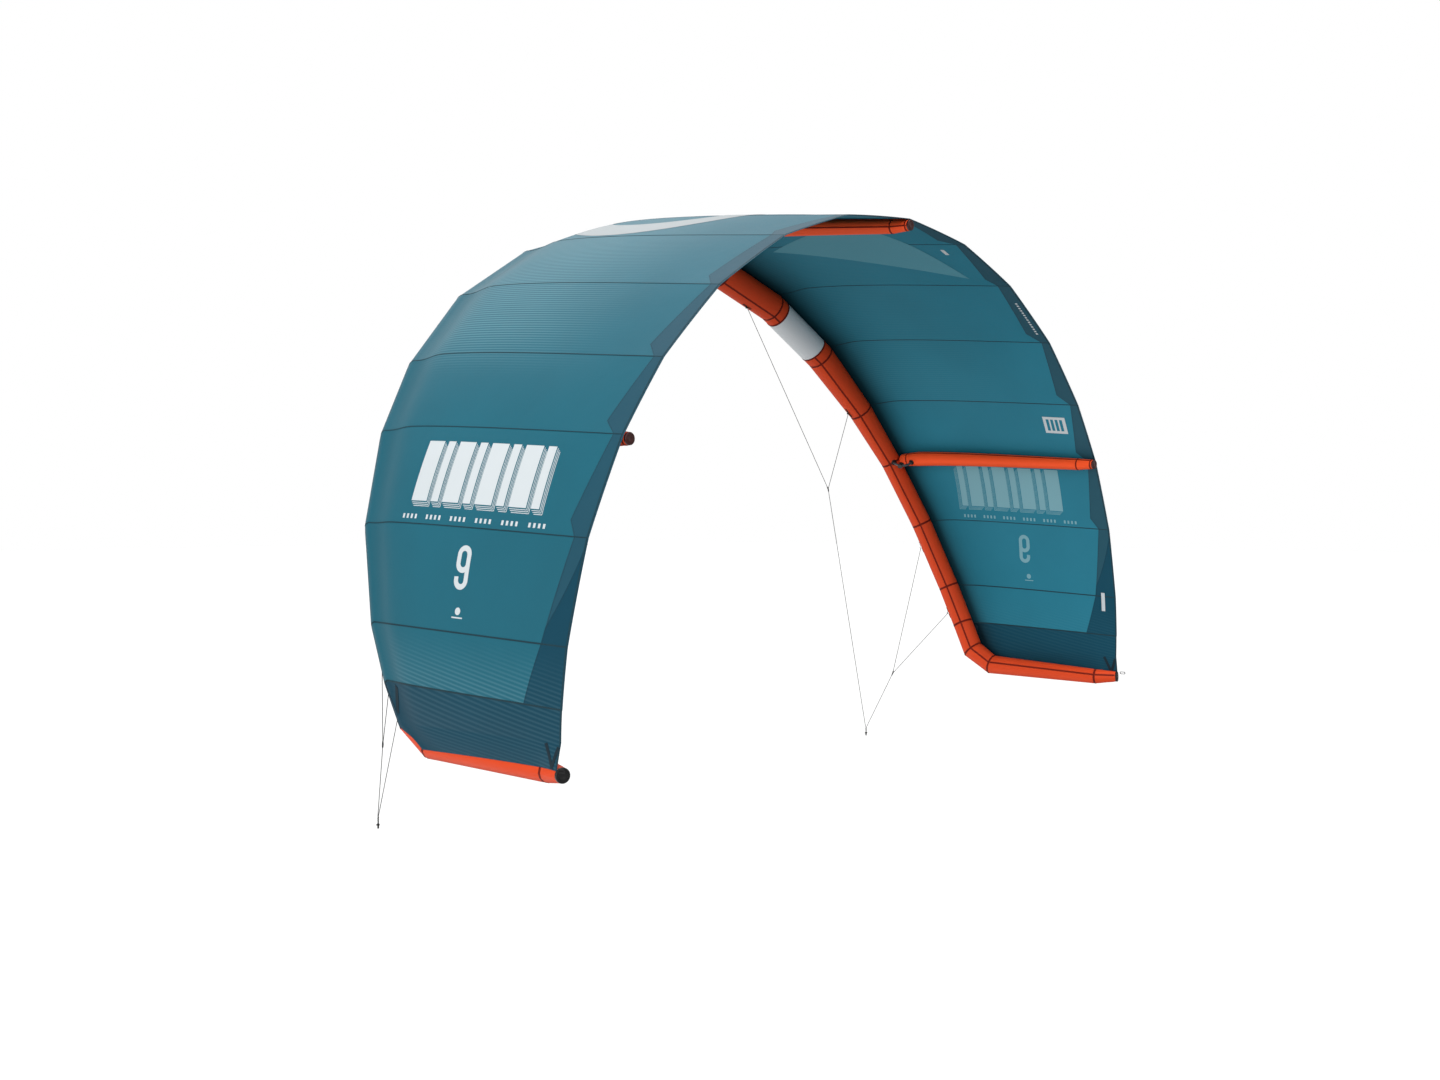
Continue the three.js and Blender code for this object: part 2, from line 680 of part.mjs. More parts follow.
// The knotted pigtail that a flying line is looped on: a whipped cord with a stopper knot.
function addPigtail(side, sign) {
  const profile = [
    [0, 0],
    [3, -1.5],
    [3, -8],
    [3, -24],
    [7, -29],
    [8, -34],
    [7, -39],
    [4, -43],
    [4, -50],
    [0, -50],
  ].map(([r, y]) => new THREE.Vector2(r, y)).reverse();
  const pigtail = add(`pigtail_${side}`, new THREE.LatheGeometry(profile, 12).rotateX(Math.PI / 2), LINE);
  const top = vector(PIGTAIL_TOP);
  top.x *= sign;
  top.z -= 2;
  pigtail.position.copy(top);
}

// The webbing loop at the wingtip's trailing corner, for a rear flying line.
function addRearLoop(side, sign) {
  const [width, length, wall, thickness] = [14, 32, 3, 3];
  const rounded = (inset) => {
    const radius = width / 2 - inset;
    const path = new THREE.Path();
    path.absarc(0, -width / 2, radius, 0, Math.PI);
    path.absarc(0, width / 2 - length, radius, Math.PI, 2 * Math.PI);
    return path;
  };
  const outline = new THREE.Shape(rounded(0).getPoints(6));
  outline.holes.push(rounded(wall));
  const ring = new THREE.ExtrudeGeometry(outline, { depth: thickness, bevelEnabled: false, curveSegments: 6 })
    .translate(0, 0, -thickness / 2);
  const loop = add(`rear_loop_${side}`, ring, BLACK);
  const corner = tipPoints([1], CANOPY.thickness / 2)[0];
  const hinge = new THREE.Vector3(corner.x * sign, corner.y - 12, corner.z + 2);
  place(loop, hinge, UP.clone().negate(), new THREE.Vector3(1, 0, 0));
}

addLeadingEdge();
addLeadingEdgeBladder();
addTipCaps();
addCanopy();
addTrailingEdgeBand();
addStrut('center', ROWS[0], 1);
addStrut('left', ROWS[SIDE_STRUT_SEAM], -1);
addStrut('right', ROWS[SIDE_STRUT_SEAM], 1);
addValve();
for (const [side, sign] of [['left', -1], ['right', 1]]) {
  addBridle(side, sign);
  addPigtail(side, sign);
  addRearLoop(side, sign);
}

export default kite;
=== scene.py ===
# Looks of the kitesurf kite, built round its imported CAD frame. Metres, +Z up, X along the span,
# +Y from the trailing edge to the leading edge. The origin is the middle of the trailing edge.
import json
import math

import bpy
import numpy as np
from mathutils import Vector
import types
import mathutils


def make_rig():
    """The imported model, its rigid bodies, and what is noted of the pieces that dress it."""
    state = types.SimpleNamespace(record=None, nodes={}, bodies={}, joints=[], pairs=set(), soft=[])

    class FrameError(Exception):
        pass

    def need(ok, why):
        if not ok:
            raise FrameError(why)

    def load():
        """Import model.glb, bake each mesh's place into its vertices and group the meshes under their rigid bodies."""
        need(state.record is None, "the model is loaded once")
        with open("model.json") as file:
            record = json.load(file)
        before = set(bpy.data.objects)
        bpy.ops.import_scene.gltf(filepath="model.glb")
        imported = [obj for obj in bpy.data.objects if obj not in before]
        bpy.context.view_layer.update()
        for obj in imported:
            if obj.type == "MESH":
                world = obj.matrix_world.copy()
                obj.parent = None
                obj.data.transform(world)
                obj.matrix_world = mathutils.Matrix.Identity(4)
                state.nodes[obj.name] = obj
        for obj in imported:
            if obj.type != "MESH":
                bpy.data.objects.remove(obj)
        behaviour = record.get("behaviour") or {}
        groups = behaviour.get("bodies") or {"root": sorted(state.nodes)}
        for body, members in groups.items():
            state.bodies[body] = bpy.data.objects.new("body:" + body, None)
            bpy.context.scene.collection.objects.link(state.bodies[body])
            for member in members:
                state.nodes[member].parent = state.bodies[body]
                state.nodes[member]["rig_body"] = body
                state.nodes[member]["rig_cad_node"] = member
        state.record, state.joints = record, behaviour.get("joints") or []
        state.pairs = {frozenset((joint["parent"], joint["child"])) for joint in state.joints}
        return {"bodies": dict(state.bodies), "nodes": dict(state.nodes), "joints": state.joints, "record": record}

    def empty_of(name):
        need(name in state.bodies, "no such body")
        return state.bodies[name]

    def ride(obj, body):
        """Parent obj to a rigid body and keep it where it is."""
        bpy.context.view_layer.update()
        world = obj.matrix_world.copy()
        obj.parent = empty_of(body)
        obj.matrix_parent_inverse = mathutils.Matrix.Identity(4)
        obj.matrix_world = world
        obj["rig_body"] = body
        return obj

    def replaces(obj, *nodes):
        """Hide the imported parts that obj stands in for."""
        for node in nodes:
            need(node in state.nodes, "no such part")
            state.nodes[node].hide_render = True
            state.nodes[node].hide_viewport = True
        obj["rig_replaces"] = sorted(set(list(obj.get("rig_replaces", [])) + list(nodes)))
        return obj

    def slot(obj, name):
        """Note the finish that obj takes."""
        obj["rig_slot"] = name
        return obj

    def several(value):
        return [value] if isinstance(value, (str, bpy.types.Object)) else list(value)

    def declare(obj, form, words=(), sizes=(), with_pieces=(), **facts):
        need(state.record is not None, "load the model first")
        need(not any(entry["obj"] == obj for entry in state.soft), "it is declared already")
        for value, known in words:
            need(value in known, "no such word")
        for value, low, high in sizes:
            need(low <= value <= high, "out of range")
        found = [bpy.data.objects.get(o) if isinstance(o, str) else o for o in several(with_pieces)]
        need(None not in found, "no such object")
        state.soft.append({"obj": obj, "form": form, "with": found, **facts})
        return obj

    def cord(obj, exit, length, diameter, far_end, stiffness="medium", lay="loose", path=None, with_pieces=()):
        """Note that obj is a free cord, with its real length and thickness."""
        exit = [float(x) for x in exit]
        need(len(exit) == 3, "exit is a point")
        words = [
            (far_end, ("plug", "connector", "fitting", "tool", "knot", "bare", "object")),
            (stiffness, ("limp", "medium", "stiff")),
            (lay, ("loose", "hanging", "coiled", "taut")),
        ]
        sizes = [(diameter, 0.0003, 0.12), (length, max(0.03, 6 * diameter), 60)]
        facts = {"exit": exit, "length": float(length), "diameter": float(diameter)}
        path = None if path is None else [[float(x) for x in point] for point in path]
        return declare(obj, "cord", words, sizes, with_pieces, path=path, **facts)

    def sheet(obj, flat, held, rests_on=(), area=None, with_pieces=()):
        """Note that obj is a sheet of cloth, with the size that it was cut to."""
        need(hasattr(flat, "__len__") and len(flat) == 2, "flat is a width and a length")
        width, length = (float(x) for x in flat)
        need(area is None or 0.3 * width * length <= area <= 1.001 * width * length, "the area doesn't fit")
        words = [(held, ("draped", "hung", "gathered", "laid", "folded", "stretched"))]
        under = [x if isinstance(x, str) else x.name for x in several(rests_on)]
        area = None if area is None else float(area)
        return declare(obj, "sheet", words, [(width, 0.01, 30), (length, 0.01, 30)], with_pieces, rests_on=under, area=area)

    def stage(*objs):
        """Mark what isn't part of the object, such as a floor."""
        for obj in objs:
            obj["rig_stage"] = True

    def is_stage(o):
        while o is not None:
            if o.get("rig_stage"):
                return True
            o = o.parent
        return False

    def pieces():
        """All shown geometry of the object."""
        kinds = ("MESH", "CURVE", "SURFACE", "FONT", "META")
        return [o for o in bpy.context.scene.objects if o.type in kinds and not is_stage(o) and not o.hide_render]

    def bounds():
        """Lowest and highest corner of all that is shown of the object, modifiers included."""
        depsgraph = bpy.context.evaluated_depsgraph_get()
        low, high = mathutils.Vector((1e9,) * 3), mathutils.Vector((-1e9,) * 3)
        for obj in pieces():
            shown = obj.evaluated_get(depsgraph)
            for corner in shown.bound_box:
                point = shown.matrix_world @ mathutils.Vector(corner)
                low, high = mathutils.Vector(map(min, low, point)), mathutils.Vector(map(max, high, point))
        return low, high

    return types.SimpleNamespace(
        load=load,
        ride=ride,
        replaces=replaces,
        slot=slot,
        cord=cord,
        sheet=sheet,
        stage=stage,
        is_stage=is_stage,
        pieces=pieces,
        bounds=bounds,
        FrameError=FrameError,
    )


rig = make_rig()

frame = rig.load()
cad_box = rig.bounds()
scene = bpy.context.scene

# ---------------------------------------------------------------- shape, repeated from the CAD source

ARCH_RADIUS = 2.1
SEAM_ANGLES = (0, 12.7, 25, 37.8, 49.7, 59.5, 70.6, 81.2, 87.1)
TIP_ANGLE = 92.7
ROOT_CHORD = 1.526
TIP_TUBE = (((2.050, 0.785, -2.196), 0.053), ((2.062, 0.130, -2.221), 0.040), ((2.097, 0.027, -2.218), 0.028))
TIP_CHORD_LOSS = 0.42
TIP_TOE = 0.055
NOSE_RISE = 0.032
TUBE_THICK, TUBE_THIN = 0.080, 0.057
CAMBER = 0.028
BELLY = 0.024
TIP_BEND = 0.86
SIDES = ((-1, "left"), (1, "right"))


def vec(*values):
    return np.array(values, float)


def unit(a):
    return a / np.linalg.norm(a)


def mix(a, b, share):
    return a + (b - a) * share


def ramp(value, start, end):
    share = min(max((value - start) / (end - start), 0.0), 1.0)
    return share * share * (3 - 2 * share)


def outward_at(angle):
    turn = math.radians(angle)
    return vec(math.sin(turn), 0, math.cos(turn))


def trailing_edge(angle):
    point = outward_at(angle) * ARCH_RADIUS
    return point + vec(0, 0.027 * (angle / TIP_ANGLE) ** 3, -ARCH_RADIUS)


def leading_edge(angle):
    point = outward_at(angle) * ARCH_RADIUS
    toe = TIP_TOE * (max(0.0, angle - 60) / 32) ** 1.5
    sweep = ROOT_CHORD * (1 - TIP_CHORD_LOSS * (angle / TIP_ANGLE) ** 2.75)
    return point + vec(-toe, sweep, NOSE_RISE - ARCH_RADIUS)


def tube_radius(angle):
    return mix(TUBE_THICK, TUBE_THIN, min(max((angle - 38) / 21.5, 0.0), 1.0))


JOINTS = [(leading_edge(a), tube_radius(a)) for a in (*SEAM_ANGLES, 91.3)]
JOINTS += [(vec(*centre), radius) for centre, radius in TIP_TUBE]


def tube_at(station):
    """Centre and radius of the leading-edge tube; stations count its joints, negative ones to the left."""
    joint = min(int(abs(station)), len(JOINTS) - 2)
    share = abs(station) - joint
    (a, ra), (b, rb) = JOINTS[joint], JOINTS[joint + 1]
    centre = mix(a, b, share)
    return centre * vec(-1 if station < 0 else 1, 1, 1), mix(ra, rb, share)


def tube_heading(station):
    return unit(tube_at(station + 0.05)[0] - tube_at(station - 0.05)[0])


class Row:
    """A chordwise line of the canopy, from a joint of the tube back to the trailing edge."""

    def __init__(self, joint, edge_angle, camber, wrap):
        self.nose, self.radius = JOINTS[joint]
        self.edge = trailing_edge(edge_angle)
        self.outward = outward_at(edge_angle)
        self.chord = np.linalg.norm(self.nose - self.edge)
        self.camber = camber * self.chord
        self.wrap = math.radians(wrap)
        heading = tube_heading(joint) if joint else vec(1, 0, 0)
        ahead = self.nose - self.edge
        self.forward = unit(ahead - heading * (ahead @ heading))

    def height(self, share, blend=0.15):
        rise = self.camber * math.sin(math.pi * share ** 0.55) * ramp(share, 0, blend)
        return self.radius * (1 - share) + rise

    def slack(self, share):
        """How far the cloth lies under the fuller line of its stand-in, just behind the tube."""
        return self.height(share, 0.08) - self.height(share)

    def point(self, share, lift):
        if share < 0:
            turn = -share * self.wrap
            spoke = self.outward * math.cos(turn) + self.forward * math.sin(turn)
            return self.nose + spoke * (self.radius + lift)
        return mix(self.nose, self.edge, share) + self.outward * (self.height(share) + lift)


class TipRow:
    """The canopy's lowest line, along the outer side of the wingtip tube."""

    chord = 0.79
    outward = vec(1, 0, 0)

    def point(self, share, lift):
        if share < 0:
            station, turn = mix(10, 9.7, -share), mix(-10, 0, -share)
        else:
            station = 10 + share / TIP_BEND if share < TIP_BEND else 11 + (share - TIP_BEND) / (1 - TIP_BEND)
            turn = mix(-10, 35, share)
        centre, radius = tube_at(station)
        turn = math.radians(turn)
        return centre + vec(math.cos(turn), 0, math.sin(turn)) * (radius + lift)


LAST_SEAM = len(SEAM_ANGLES) - 1
ROWS = [Row(k, a, CAMBER * (0.7 if k == LAST_SEAM else 1), 33 if k == LAST_SEAM else 38)
        for k, a in enumerate(SEAM_ANGLES)]
ROWS += [Row(LAST_SEAM + 1, 90.2, CAMBER * 0.35, 24), TipRow()]
TIP = len(ROWS) - 1
WIDTHS = [ARCH_RADIUS * math.radians(b - a) for a, b in zip(SEAM_ANGLES, SEAM_ANGLES[1:])] + [0.11, 0.1]


def off_tube(point, stretch, lift, snug):
    """Moves a point straight off a stretch of the tube, to lie lift above it."""
    (a, ra), (b, rb) = JOINTS[stretch], JOINTS[stretch + 1]
    axis = unit(b - a)
    along = (point - a) @ axis
    radial = point - a - axis * along
    reach = np.linalg.norm(radial)
    need = mix(ra, rb, min(max(along / np.linalg.norm(b - a), 0.0), 1.0)) + lift
    return point + radial / reach * (need - reach) if snug or reach < need else point


def surface(u, share, lift):
    """A point of the canopy: u counts seams out from the middle, share runs from the tube (0) to the
    trailing edge (1) and below 0 round the tube's front, and lift is the height over the tube."""
    side, place = (-1 if u < 0 else 1), abs(u)
    k = min(int(place), TIP - 1)
    f = place - k
    point = ROWS[k].point(share, lift)
    if f:
        point = mix(point, ROWS[k + 1].point(share, lift), f)
        bulge = BELLY * WIDTHS[k] * 4 * f * (1 - f) * ramp(share, 0.02, 0.2) * (1 - 0.7 * ramp(share, 0.7, 1))
        point = point + unit(mix(ROWS[k].outward, ROWS[k + 1].outward, f)) * bulge
    if share < 0.1 and place < TIP:
        if f == 0 and k:
            point = off_tube(point, k - 1, lift, share <= 0)
        point = off_tube(point, k, lift, share <= 0)
    return point * vec(side, 1, 1)


def chord_at(u):
    k = min(int(abs(u)), TIP - 1)
    return mix(ROWS[k].chord, ROWS[k + 1].chord, abs(u) - k)


# ---------------------------------------------------------------- leading-edge tube

TUBE_SEAM_TURN = math.radians(235)
WHITE_BAND = (2.12, 2.85)
LAST_JOINT = len(JOINTS) - 1
GATHER, SEAM_DIP = 0.0006, 0.0011


def turned(v, a, b):
    """v, turned as the shortest turn takes direction a to direction b."""
    axis = np.cross(a, b)
    return v + np.cross(axis, v) + np.cross(axis, np.cross(axis, v)) / (1 + a @ b)


def tube_frames():
    centres = [centre for centre, _ in JOINTS]
    incoming = unit(centres[1] - centres[0]) * vec(1, -1, -1)
    across = unit(vec(0, 1, 0) - incoming * incoming[1])
    frames = []
    for j in range(len(JOINTS)):
        outgoing = unit(centres[j + 1] - centres[j]) if j < LAST_JOINT else incoming
        frames.append((incoming, across, unit(incoming + outgoing)))
        across = turned(across, incoming, outgoing)
        incoming = outgoing
    return frames


TUBE_FRAMES = tube_frames()
STRETCHES = [np.linalg.norm(JOINTS[j + 1][0] - JOINTS[j][0]) for j in range(LAST_JOINT)]


def pucker(joint, share, turn):
    """Height of the cloth's gathers beside the seams round the tube."""
    height = 0
    for end, gap in ((joint, share), (joint + 1, 1 - share)):
        away = gap * STRETCHES[joint]
        folds = math.sin(13 * turn + 2.1 * end) + 0.7 * math.sin(22 * turn + 1.3 * end)
        height += GATHER * folds * math.exp(-(away / 0.035) ** 2) - SEAM_DIP * math.exp(-(away / 0.011) ** 2)
    return height


def ring_point(joint, turn, lift):
    centre, radius = JOINTS[joint]
    incoming, across, mitre = TUBE_FRAMES[joint]
    spoke = across * math.cos(turn) + np.cross(incoming, across) * math.sin(turn)
    spoke *= radius + lift
    return centre + spoke - incoming * (spoke @ mitre) / (incoming @ mitre)


def tube_point(station, turn, lift=0.0):
    """A point on the tube's skin. A turn of 0 is its front and 90 degrees its outer side."""
    joint = min(int(abs(station)), LAST_JOINT - 1)
    share = abs(station) - joint
    lift += pucker(joint, share, turn)
    point = mix(ring_point(joint, turn, lift), ring_point(joint + 1, turn, lift), share)
    return point * vec(-1 if station < 0 else 1, 1, 1)


def tube_distance(station):
    joint = min(int(abs(station)), LAST_JOINT - 1)
    along = sum(STRETCHES[:joint]) + STRETCHES[joint] * (abs(station) - joint)
    return math.copysign(along, station)


def stations_between(start, end):
    """Stations from start to end, close together beside each seam round the tube."""
    found = {start, end}
    for joint in range(-LAST_JOINT, LAST_JOINT + 1):
        found.add(joint)
        for away in (0.006, 0.012, 0.02, 0.032, 0.048, 0.07, 0.1, 0.15):
            inner = STRETCHES[max(abs(joint) - 1, 0)]
            outer = STRETCHES[min(abs(joint), LAST_JOINT - 1)]
            sign = 1 if joint >= 0 else -1
            if away < inner / 2:
                found.add(joint - sign * away / inner)
            if away < outer / 2:
                found.add(joint + sign * away / outer)
    return sorted(s for s in found if start <= s <= end)


# ---------------------------------------------------------------- meshes

def put_mesh(name, points, faces, material, slot, body="kite", stands_for=(), kinds=None, uvs=None, sharp=40):
    """A piece of the visual model: it rides on a body, takes its finish from a slot of the record and
    may stand for CAD nodes. kinds picks one of several materials for each face, uvs are maps by name."""
    mesh = bpy.data.meshes.new(name)
    mesh.from_pydata([tuple(float(c) for c in p) for p in points], [], faces)
    for finish in material if isinstance(material, list) else [material]:
        mesh.materials.append(finish)
    if kinds is not None:
        mesh.polygons.foreach_set("material_index", kinds)
    for label, values in (uvs or {}).items():
        corners = np.zeros(len(mesh.loops), np.int32)
        mesh.loops.foreach_get("vertex_index", corners)
        layer = mesh.uv_layers.new(name=label)
        layer.data.foreach_set("uv", np.array(values, np.float32)[corners].ravel())
    mesh.polygons.foreach_set("use_smooth", [True] * len(mesh.polygons))
    if sharp:
        mesh.set_sharp_from_angle(angle=math.radians(sharp))
    mesh.update()
    obj = bpy.data.objects.new(name, mesh)
    scene.collection.objects.link(obj)
    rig.ride(obj, body)
    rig.slot(obj, slot)
    if stands_for:
        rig.replaces(obj, *stands_for)
    return obj


def outward_faces(points, faces):
    """The faces of a closed mesh, turned so that they face out."""
    p = np.array(points)
    volume = sum(p[f[0]] @ np.cross(p[f[i]], p[f[i + 1]]) for f in faces for i in range(1, len(f) - 1))
    return faces if volume > 0 else [tuple(reversed(f)) for f in faces]


def slab_parts(top, under):
    """Points, faces and face kinds (0 top, 1 underside, 2 edge) of a thin sheet between two grids."""
    rows, columns = len(top), len(top[0])
    points = [p for row in top for p in row] + [p for row in under for p in row]
    half = rows * columns
    faces, kinds = [], []
    for r in range(rows - 1):
        for c in range(columns - 1):
            a = r * columns + c
            faces += [(a, a + 1, a + columns + 1, a + columns),
                      (half + a, half + a + columns, half + a + columns + 1, half + a + 1)]
            kinds += [0, 1]
    rim = list(range(columns)) + [r * columns + columns - 1 for r in range(1, rows)]
    rim += [(rows - 1) * columns + c for c in range(columns - 2, -1, -1)]
    rim += [r * columns for r in range(rows - 2, 0, -1)]
    for a, b in zip(rim, rim[1:] + rim[:1]):
        faces.append((a, half + a, half + b, b))
        kinds.append(2)
    return points, outward_faces(points, faces), kinds


def loft_parts(rings, caps=True):
    """A skin over closed rings of points, closed at its ends by a fan."""
    sides = len(rings[0])
    points = [p for ring in rings for p in ring]
    faces = []
    for i in range(len(rings) - 1):
        for j in range(sides):
            k = (j + 1) % sides
            a, b = i * sides, (i + 1) * sides
            faces.append((a + j, a + k, b + k, b + j))
    if caps:
        for first, back in ((0, True), ((len(rings) - 1) * sides, False)):
            points.append(sum(points[first:first + sides]) / sides)
            for j in range(sides):
                pair = (first + j, first + (j + 1) % sides)
                faces.append((len(points) - 1, *(reversed(pair) if back else pair)))
    return points, outward_faces(points, faces)


def basis(z, x):
    z = unit(z)
    x = unit(x - z * (x @ z))
    return x, np.cross(z, x), z


def lathe(name, profile, origin, z, x, material, slot, body="kite", stands_for=(), sides=64, wave=None):
    """A turned piece. Its profile is (radius, height) pairs, from axis to axis or closed on itself, and
    wave(turn, height) is a share added to the radius."""
    ax, ay, az = basis(z, x)
    closed = profile[0] == profile[-1] and profile[0][0] > 0
    rings = []
    for radius, height in profile:
        ring = []
        for j in range(sides):
            turn = 2 * math.pi * j / sides
            r = radius * (1 + (wave(turn, height) if wave else 0))
            ring.append(origin + ax * (math.cos(turn) * r) + ay * (math.sin(turn) * r) + az * height)
        rings.append(ring)
    points, faces = loft_parts(rings, caps=not closed)
    return put_mesh(name, points, faces, material, slot, body, stands_for, sharp=50)


def ribbon_parts(path, width_way, half_width, half_thick):
    """A flat strap along a path: width_way and the path's own direction give its faces."""
    rings = []
    for i, p in enumerate(path):
        along = unit(path[min(i + 1, len(path) - 1)] - path[max(i - 1, 0)])
        wide = unit(width_way - along * (width_way @ along))
        thick = np.cross(along, wide)
        rings.append([p + wide * (a * half_width) + thick * (b * half_thick)
                      for a, b in ((1, 1), (-1, 1), (-1, -1), (1, -1))])
    return loft_parts(rings)


def round_tube_parts(path, radius, sides=10):
    """A round cord along a path; radius is one number or one for each point."""
    radii = radius if isinstance(radius, (list, tuple)) else [radius] * len(path)
    along = unit(path[1] - path[0])
    across = unit(np.cross(along, vec(0.31, 0.52, 0.79)))
    rings = []
    for i, p in enumerate(path):
        ahead = unit(path[min(i + 1, len(path) - 1)] - path[max(i - 1, 0)])
        across = turned(across, along, ahead)
        along = ahead
        third = np.cross(along, across)
        rings.append([p + (across * math.cos(t) + third * math.sin(t)) * radii[i]
                      for t in (2 * math.pi * j / sides for j in range(sides))])
    return loft_parts(rings)


def joined(parts):
    points, faces = [], []
    for some_points, some_faces in parts:
        base = len(points)
        points += list(some_points)
        faces += [tuple(base + i for i in f) for f in some_faces]
    return points, faces


# ---------------------------------------------------------------- materials

class Material:
    """A Principled material whose colour and bump are built from procedural nodes."""

    def __init__(self, name, roughness, sheen=0.0, specular=0.5):
        self.material = bpy.data.materials.new(name)
        self.material.use_nodes = True
        self.tree = self.material.node_tree
        self.shader = self.tree.nodes["Principled BSDF"]
        self.shader.inputs["Roughness"].default_value = roughness
        self.shader.inputs["Sheen Weight"].default_value = sheen
        self.shader.inputs["Sheen Roughness"].default_value = 0.38
        self.shader.inputs["Specular IOR Level"].default_value = specular

    def node(self, kind, links=(), **settings):
        node = self.tree.nodes.new("ShaderNode" + kind)
        for key, value in settings.items():
            setattr(node, key, value)
        for socket, source in dict(links).items():
            if isinstance(source, bpy.types.NodeSocket):
                self.tree.links.new(source, node.inputs[socket])
            else:
                node.inputs[socket].default_value = source
        return node

    def math(self, operation, a, b=0.5):
        return self.node("Math", {0: a, 1: b}, operation=operation).outputs[0]

    def blend(self, share, a, b):
        node = self.node("Mix", {0: share, 6: a, 7: b}, data_type="RGBA")
        return node.outputs[2]

    def noise(self, scale, detail=3.0, roughness=0.55):
        place = self.node("TexCoord").outputs["Object"]
        links = {"Vector": place, "Scale": scale, "Detail": detail, "Roughness": roughness}
        return self.node("TexNoise", links).outputs["Fac"]

    def uv(self, label):
        return self.node("UVMap", uv_map=label).outputs[0]

    def lines(self, uv, period, along, power):
        """Thin lines across one of a map's two directions, one line each period."""
        wave = self.node("TexWave", {"Vector": uv, "Scale": 0.314159 / period},
                         bands_direction="X" if along else "Y")
        return self.math("POWER", wave.outputs["Fac"], power)

    def colour(self, socket):
        self.tree.links.new(socket, self.shader.inputs["Base Color"])

    def bump(self, *layers):
        """Stacks (height, distance in metres, strength) layers."""
        normal = None
        for height, distance, strength in layers:
            links = {"Height": height, "Distance": distance, "Strength": strength}
            if normal is not None:
                links["Normal"] = normal
            normal = self.node("Bump", links).outputs[0]
        self.tree.links.new(normal, self.shader.inputs["Normal"])


def srgb(r, g, b):
    def linear(c):
        c /= 255
        return c / 12.92 if c <= 0.04045 else ((c + 0.055) / 1.055) ** 2.4
    return (linear(r), linear(g), linear(b), 1.0)


def shade(colour, amount):
    return tuple(c * amount for c in colour[:3]) + (1.0,)


def cloth(name, colour, roughness=0.55, sheen=0.0, grid=0.005, vary=0.12, stripes=0.0, painted_shade=0.0, specular=0.2):
    """Ripstop or sailcloth: a fine grid of thicker threads, slight creases and an uneven tone."""
    m = Material(name, roughness, sheen, specular)
    place = m.uv("cloth")
    threads = m.math("MAXIMUM", m.lines(place, grid, True, 14.0), m.lines(place, grid, False, 14.0))
    tone = m.blend(m.noise(2.3, 4.0), shade(colour, 1 - vary), shade(colour, 1 + vary))
    tone = m.blend(m.math("MULTIPLY", threads, 0.05), tone, shade(colour, 0.6))
    if stripes:
        pattern = m.uv("stripes")
        amount = m.node("SeparateXYZ", {0: pattern}).outputs[1]
        wave = m.lines(pattern, 0.0105, True, 1.6)
        amount = m.math("MULTIPLY", m.math("MULTIPLY", wave, amount), stripes)
        tone = m.blend(amount, tone, srgb(150, 200, 210))
    # painted shade: the cloth is darkened beside the tube by the given share, following its map
    if painted_shade:
        shadow = m.node("SeparateXYZ", {0: m.uv("painted_shade")}).outputs[0]
        tone = m.blend(shadow, tone, shade(colour, 1 - painted_shade))
    m.colour(tone)
    creases = m.noise(9.0, 5.0, 0.6)
    m.bump((threads, 0.00012, 0.35), (m.noise(160.0, 2.0), 0.0002, 0.3), (creases, 0.004, 0.22))
    return m.material


def moulded(name, colour, roughness=0.45, grain=420.0):
    m = Material(name, roughness, specular=0.4)
    m.colour(m.blend(m.noise(60.0), shade(colour, 0.8), shade(colour, 1.35)))
    m.bump((m.noise(grain, 2.0), 0.00025, 0.35))
    return m.material


def braided(name, colour, pitch, roughness=0.7):
    """Braided line or webbing: fine strands crossing at a slant, found from the place alone."""
    m = Material(name, roughness, specular=0.3)
    place = m.node("TexCoord").outputs["Object"]
    strands = []
    for slant in (0.9, -0.9):
        way = m.node("Mapping", {"Vector": place, "Rotation": (slant, 0.4 * slant, 0.7)}).outputs[0]
        strands.append(m.node("TexWave", {"Vector": way, "Scale": 0.314159 / pitch}).outputs["Fac"])
    weave = m.math("MULTIPLY", strands[0], strands[1])
    m.colour(m.blend(weave, shade(colour, 0.65), shade(colour, 1.3)))
    m.bump((weave, 0.0003, 0.5))
    return m.material


def film(name, colour):
    m = Material(name, 0.28, specular=0.5)
    m.colour(m.blend(m.noise(14.0), shade(colour, 0.86), shade(colour, 1.0)))
    m.bump((m.noise(30.0, 4.0), 0.0015, 0.35))
    return m.material


# painted shade: the canopy cloths are painted darker beside the tube, a little on the outside faces and much on the
# inside faces
TEAL = cloth("canopy_teal", srgb(10, 91, 109), sheen=0.06, stripes=0.24, painted_shade=0.1, specular=0.24)
NAVY = cloth("canopy_navy", srgb(6, 62, 81), stripes=0.10, painted_shade=0.1, specular=0.14)
SLATE = cloth("canopy_slate", srgb(18, 72, 90), sheen=0.06, specular=0.22)
# painted light: the inside faces take lighter copies of the outside cloth colours, standing in for light that comes
# through the thin cloth
TEAL_INSIDE = cloth("canopy_teal_inside", srgb(38, 120, 142), stripes=0.05, painted_shade=0.84, specular=0.10)
NAVY_INSIDE = cloth("canopy_navy_inside", srgb(12, 70, 90), stripes=0.04, painted_shade=0.84, specular=0.10)
SLATE_INSIDE = cloth("canopy_slate_inside", srgb(36, 82, 98), specular=0.10)
TAPE = cloth("seam_tape", srgb(16, 58, 70), grid=0.002)
ORANGE = cloth("sleeve_orange", srgb(217, 72, 34), 0.5, grid=0.0045, vary=0.07, specular=0.10)
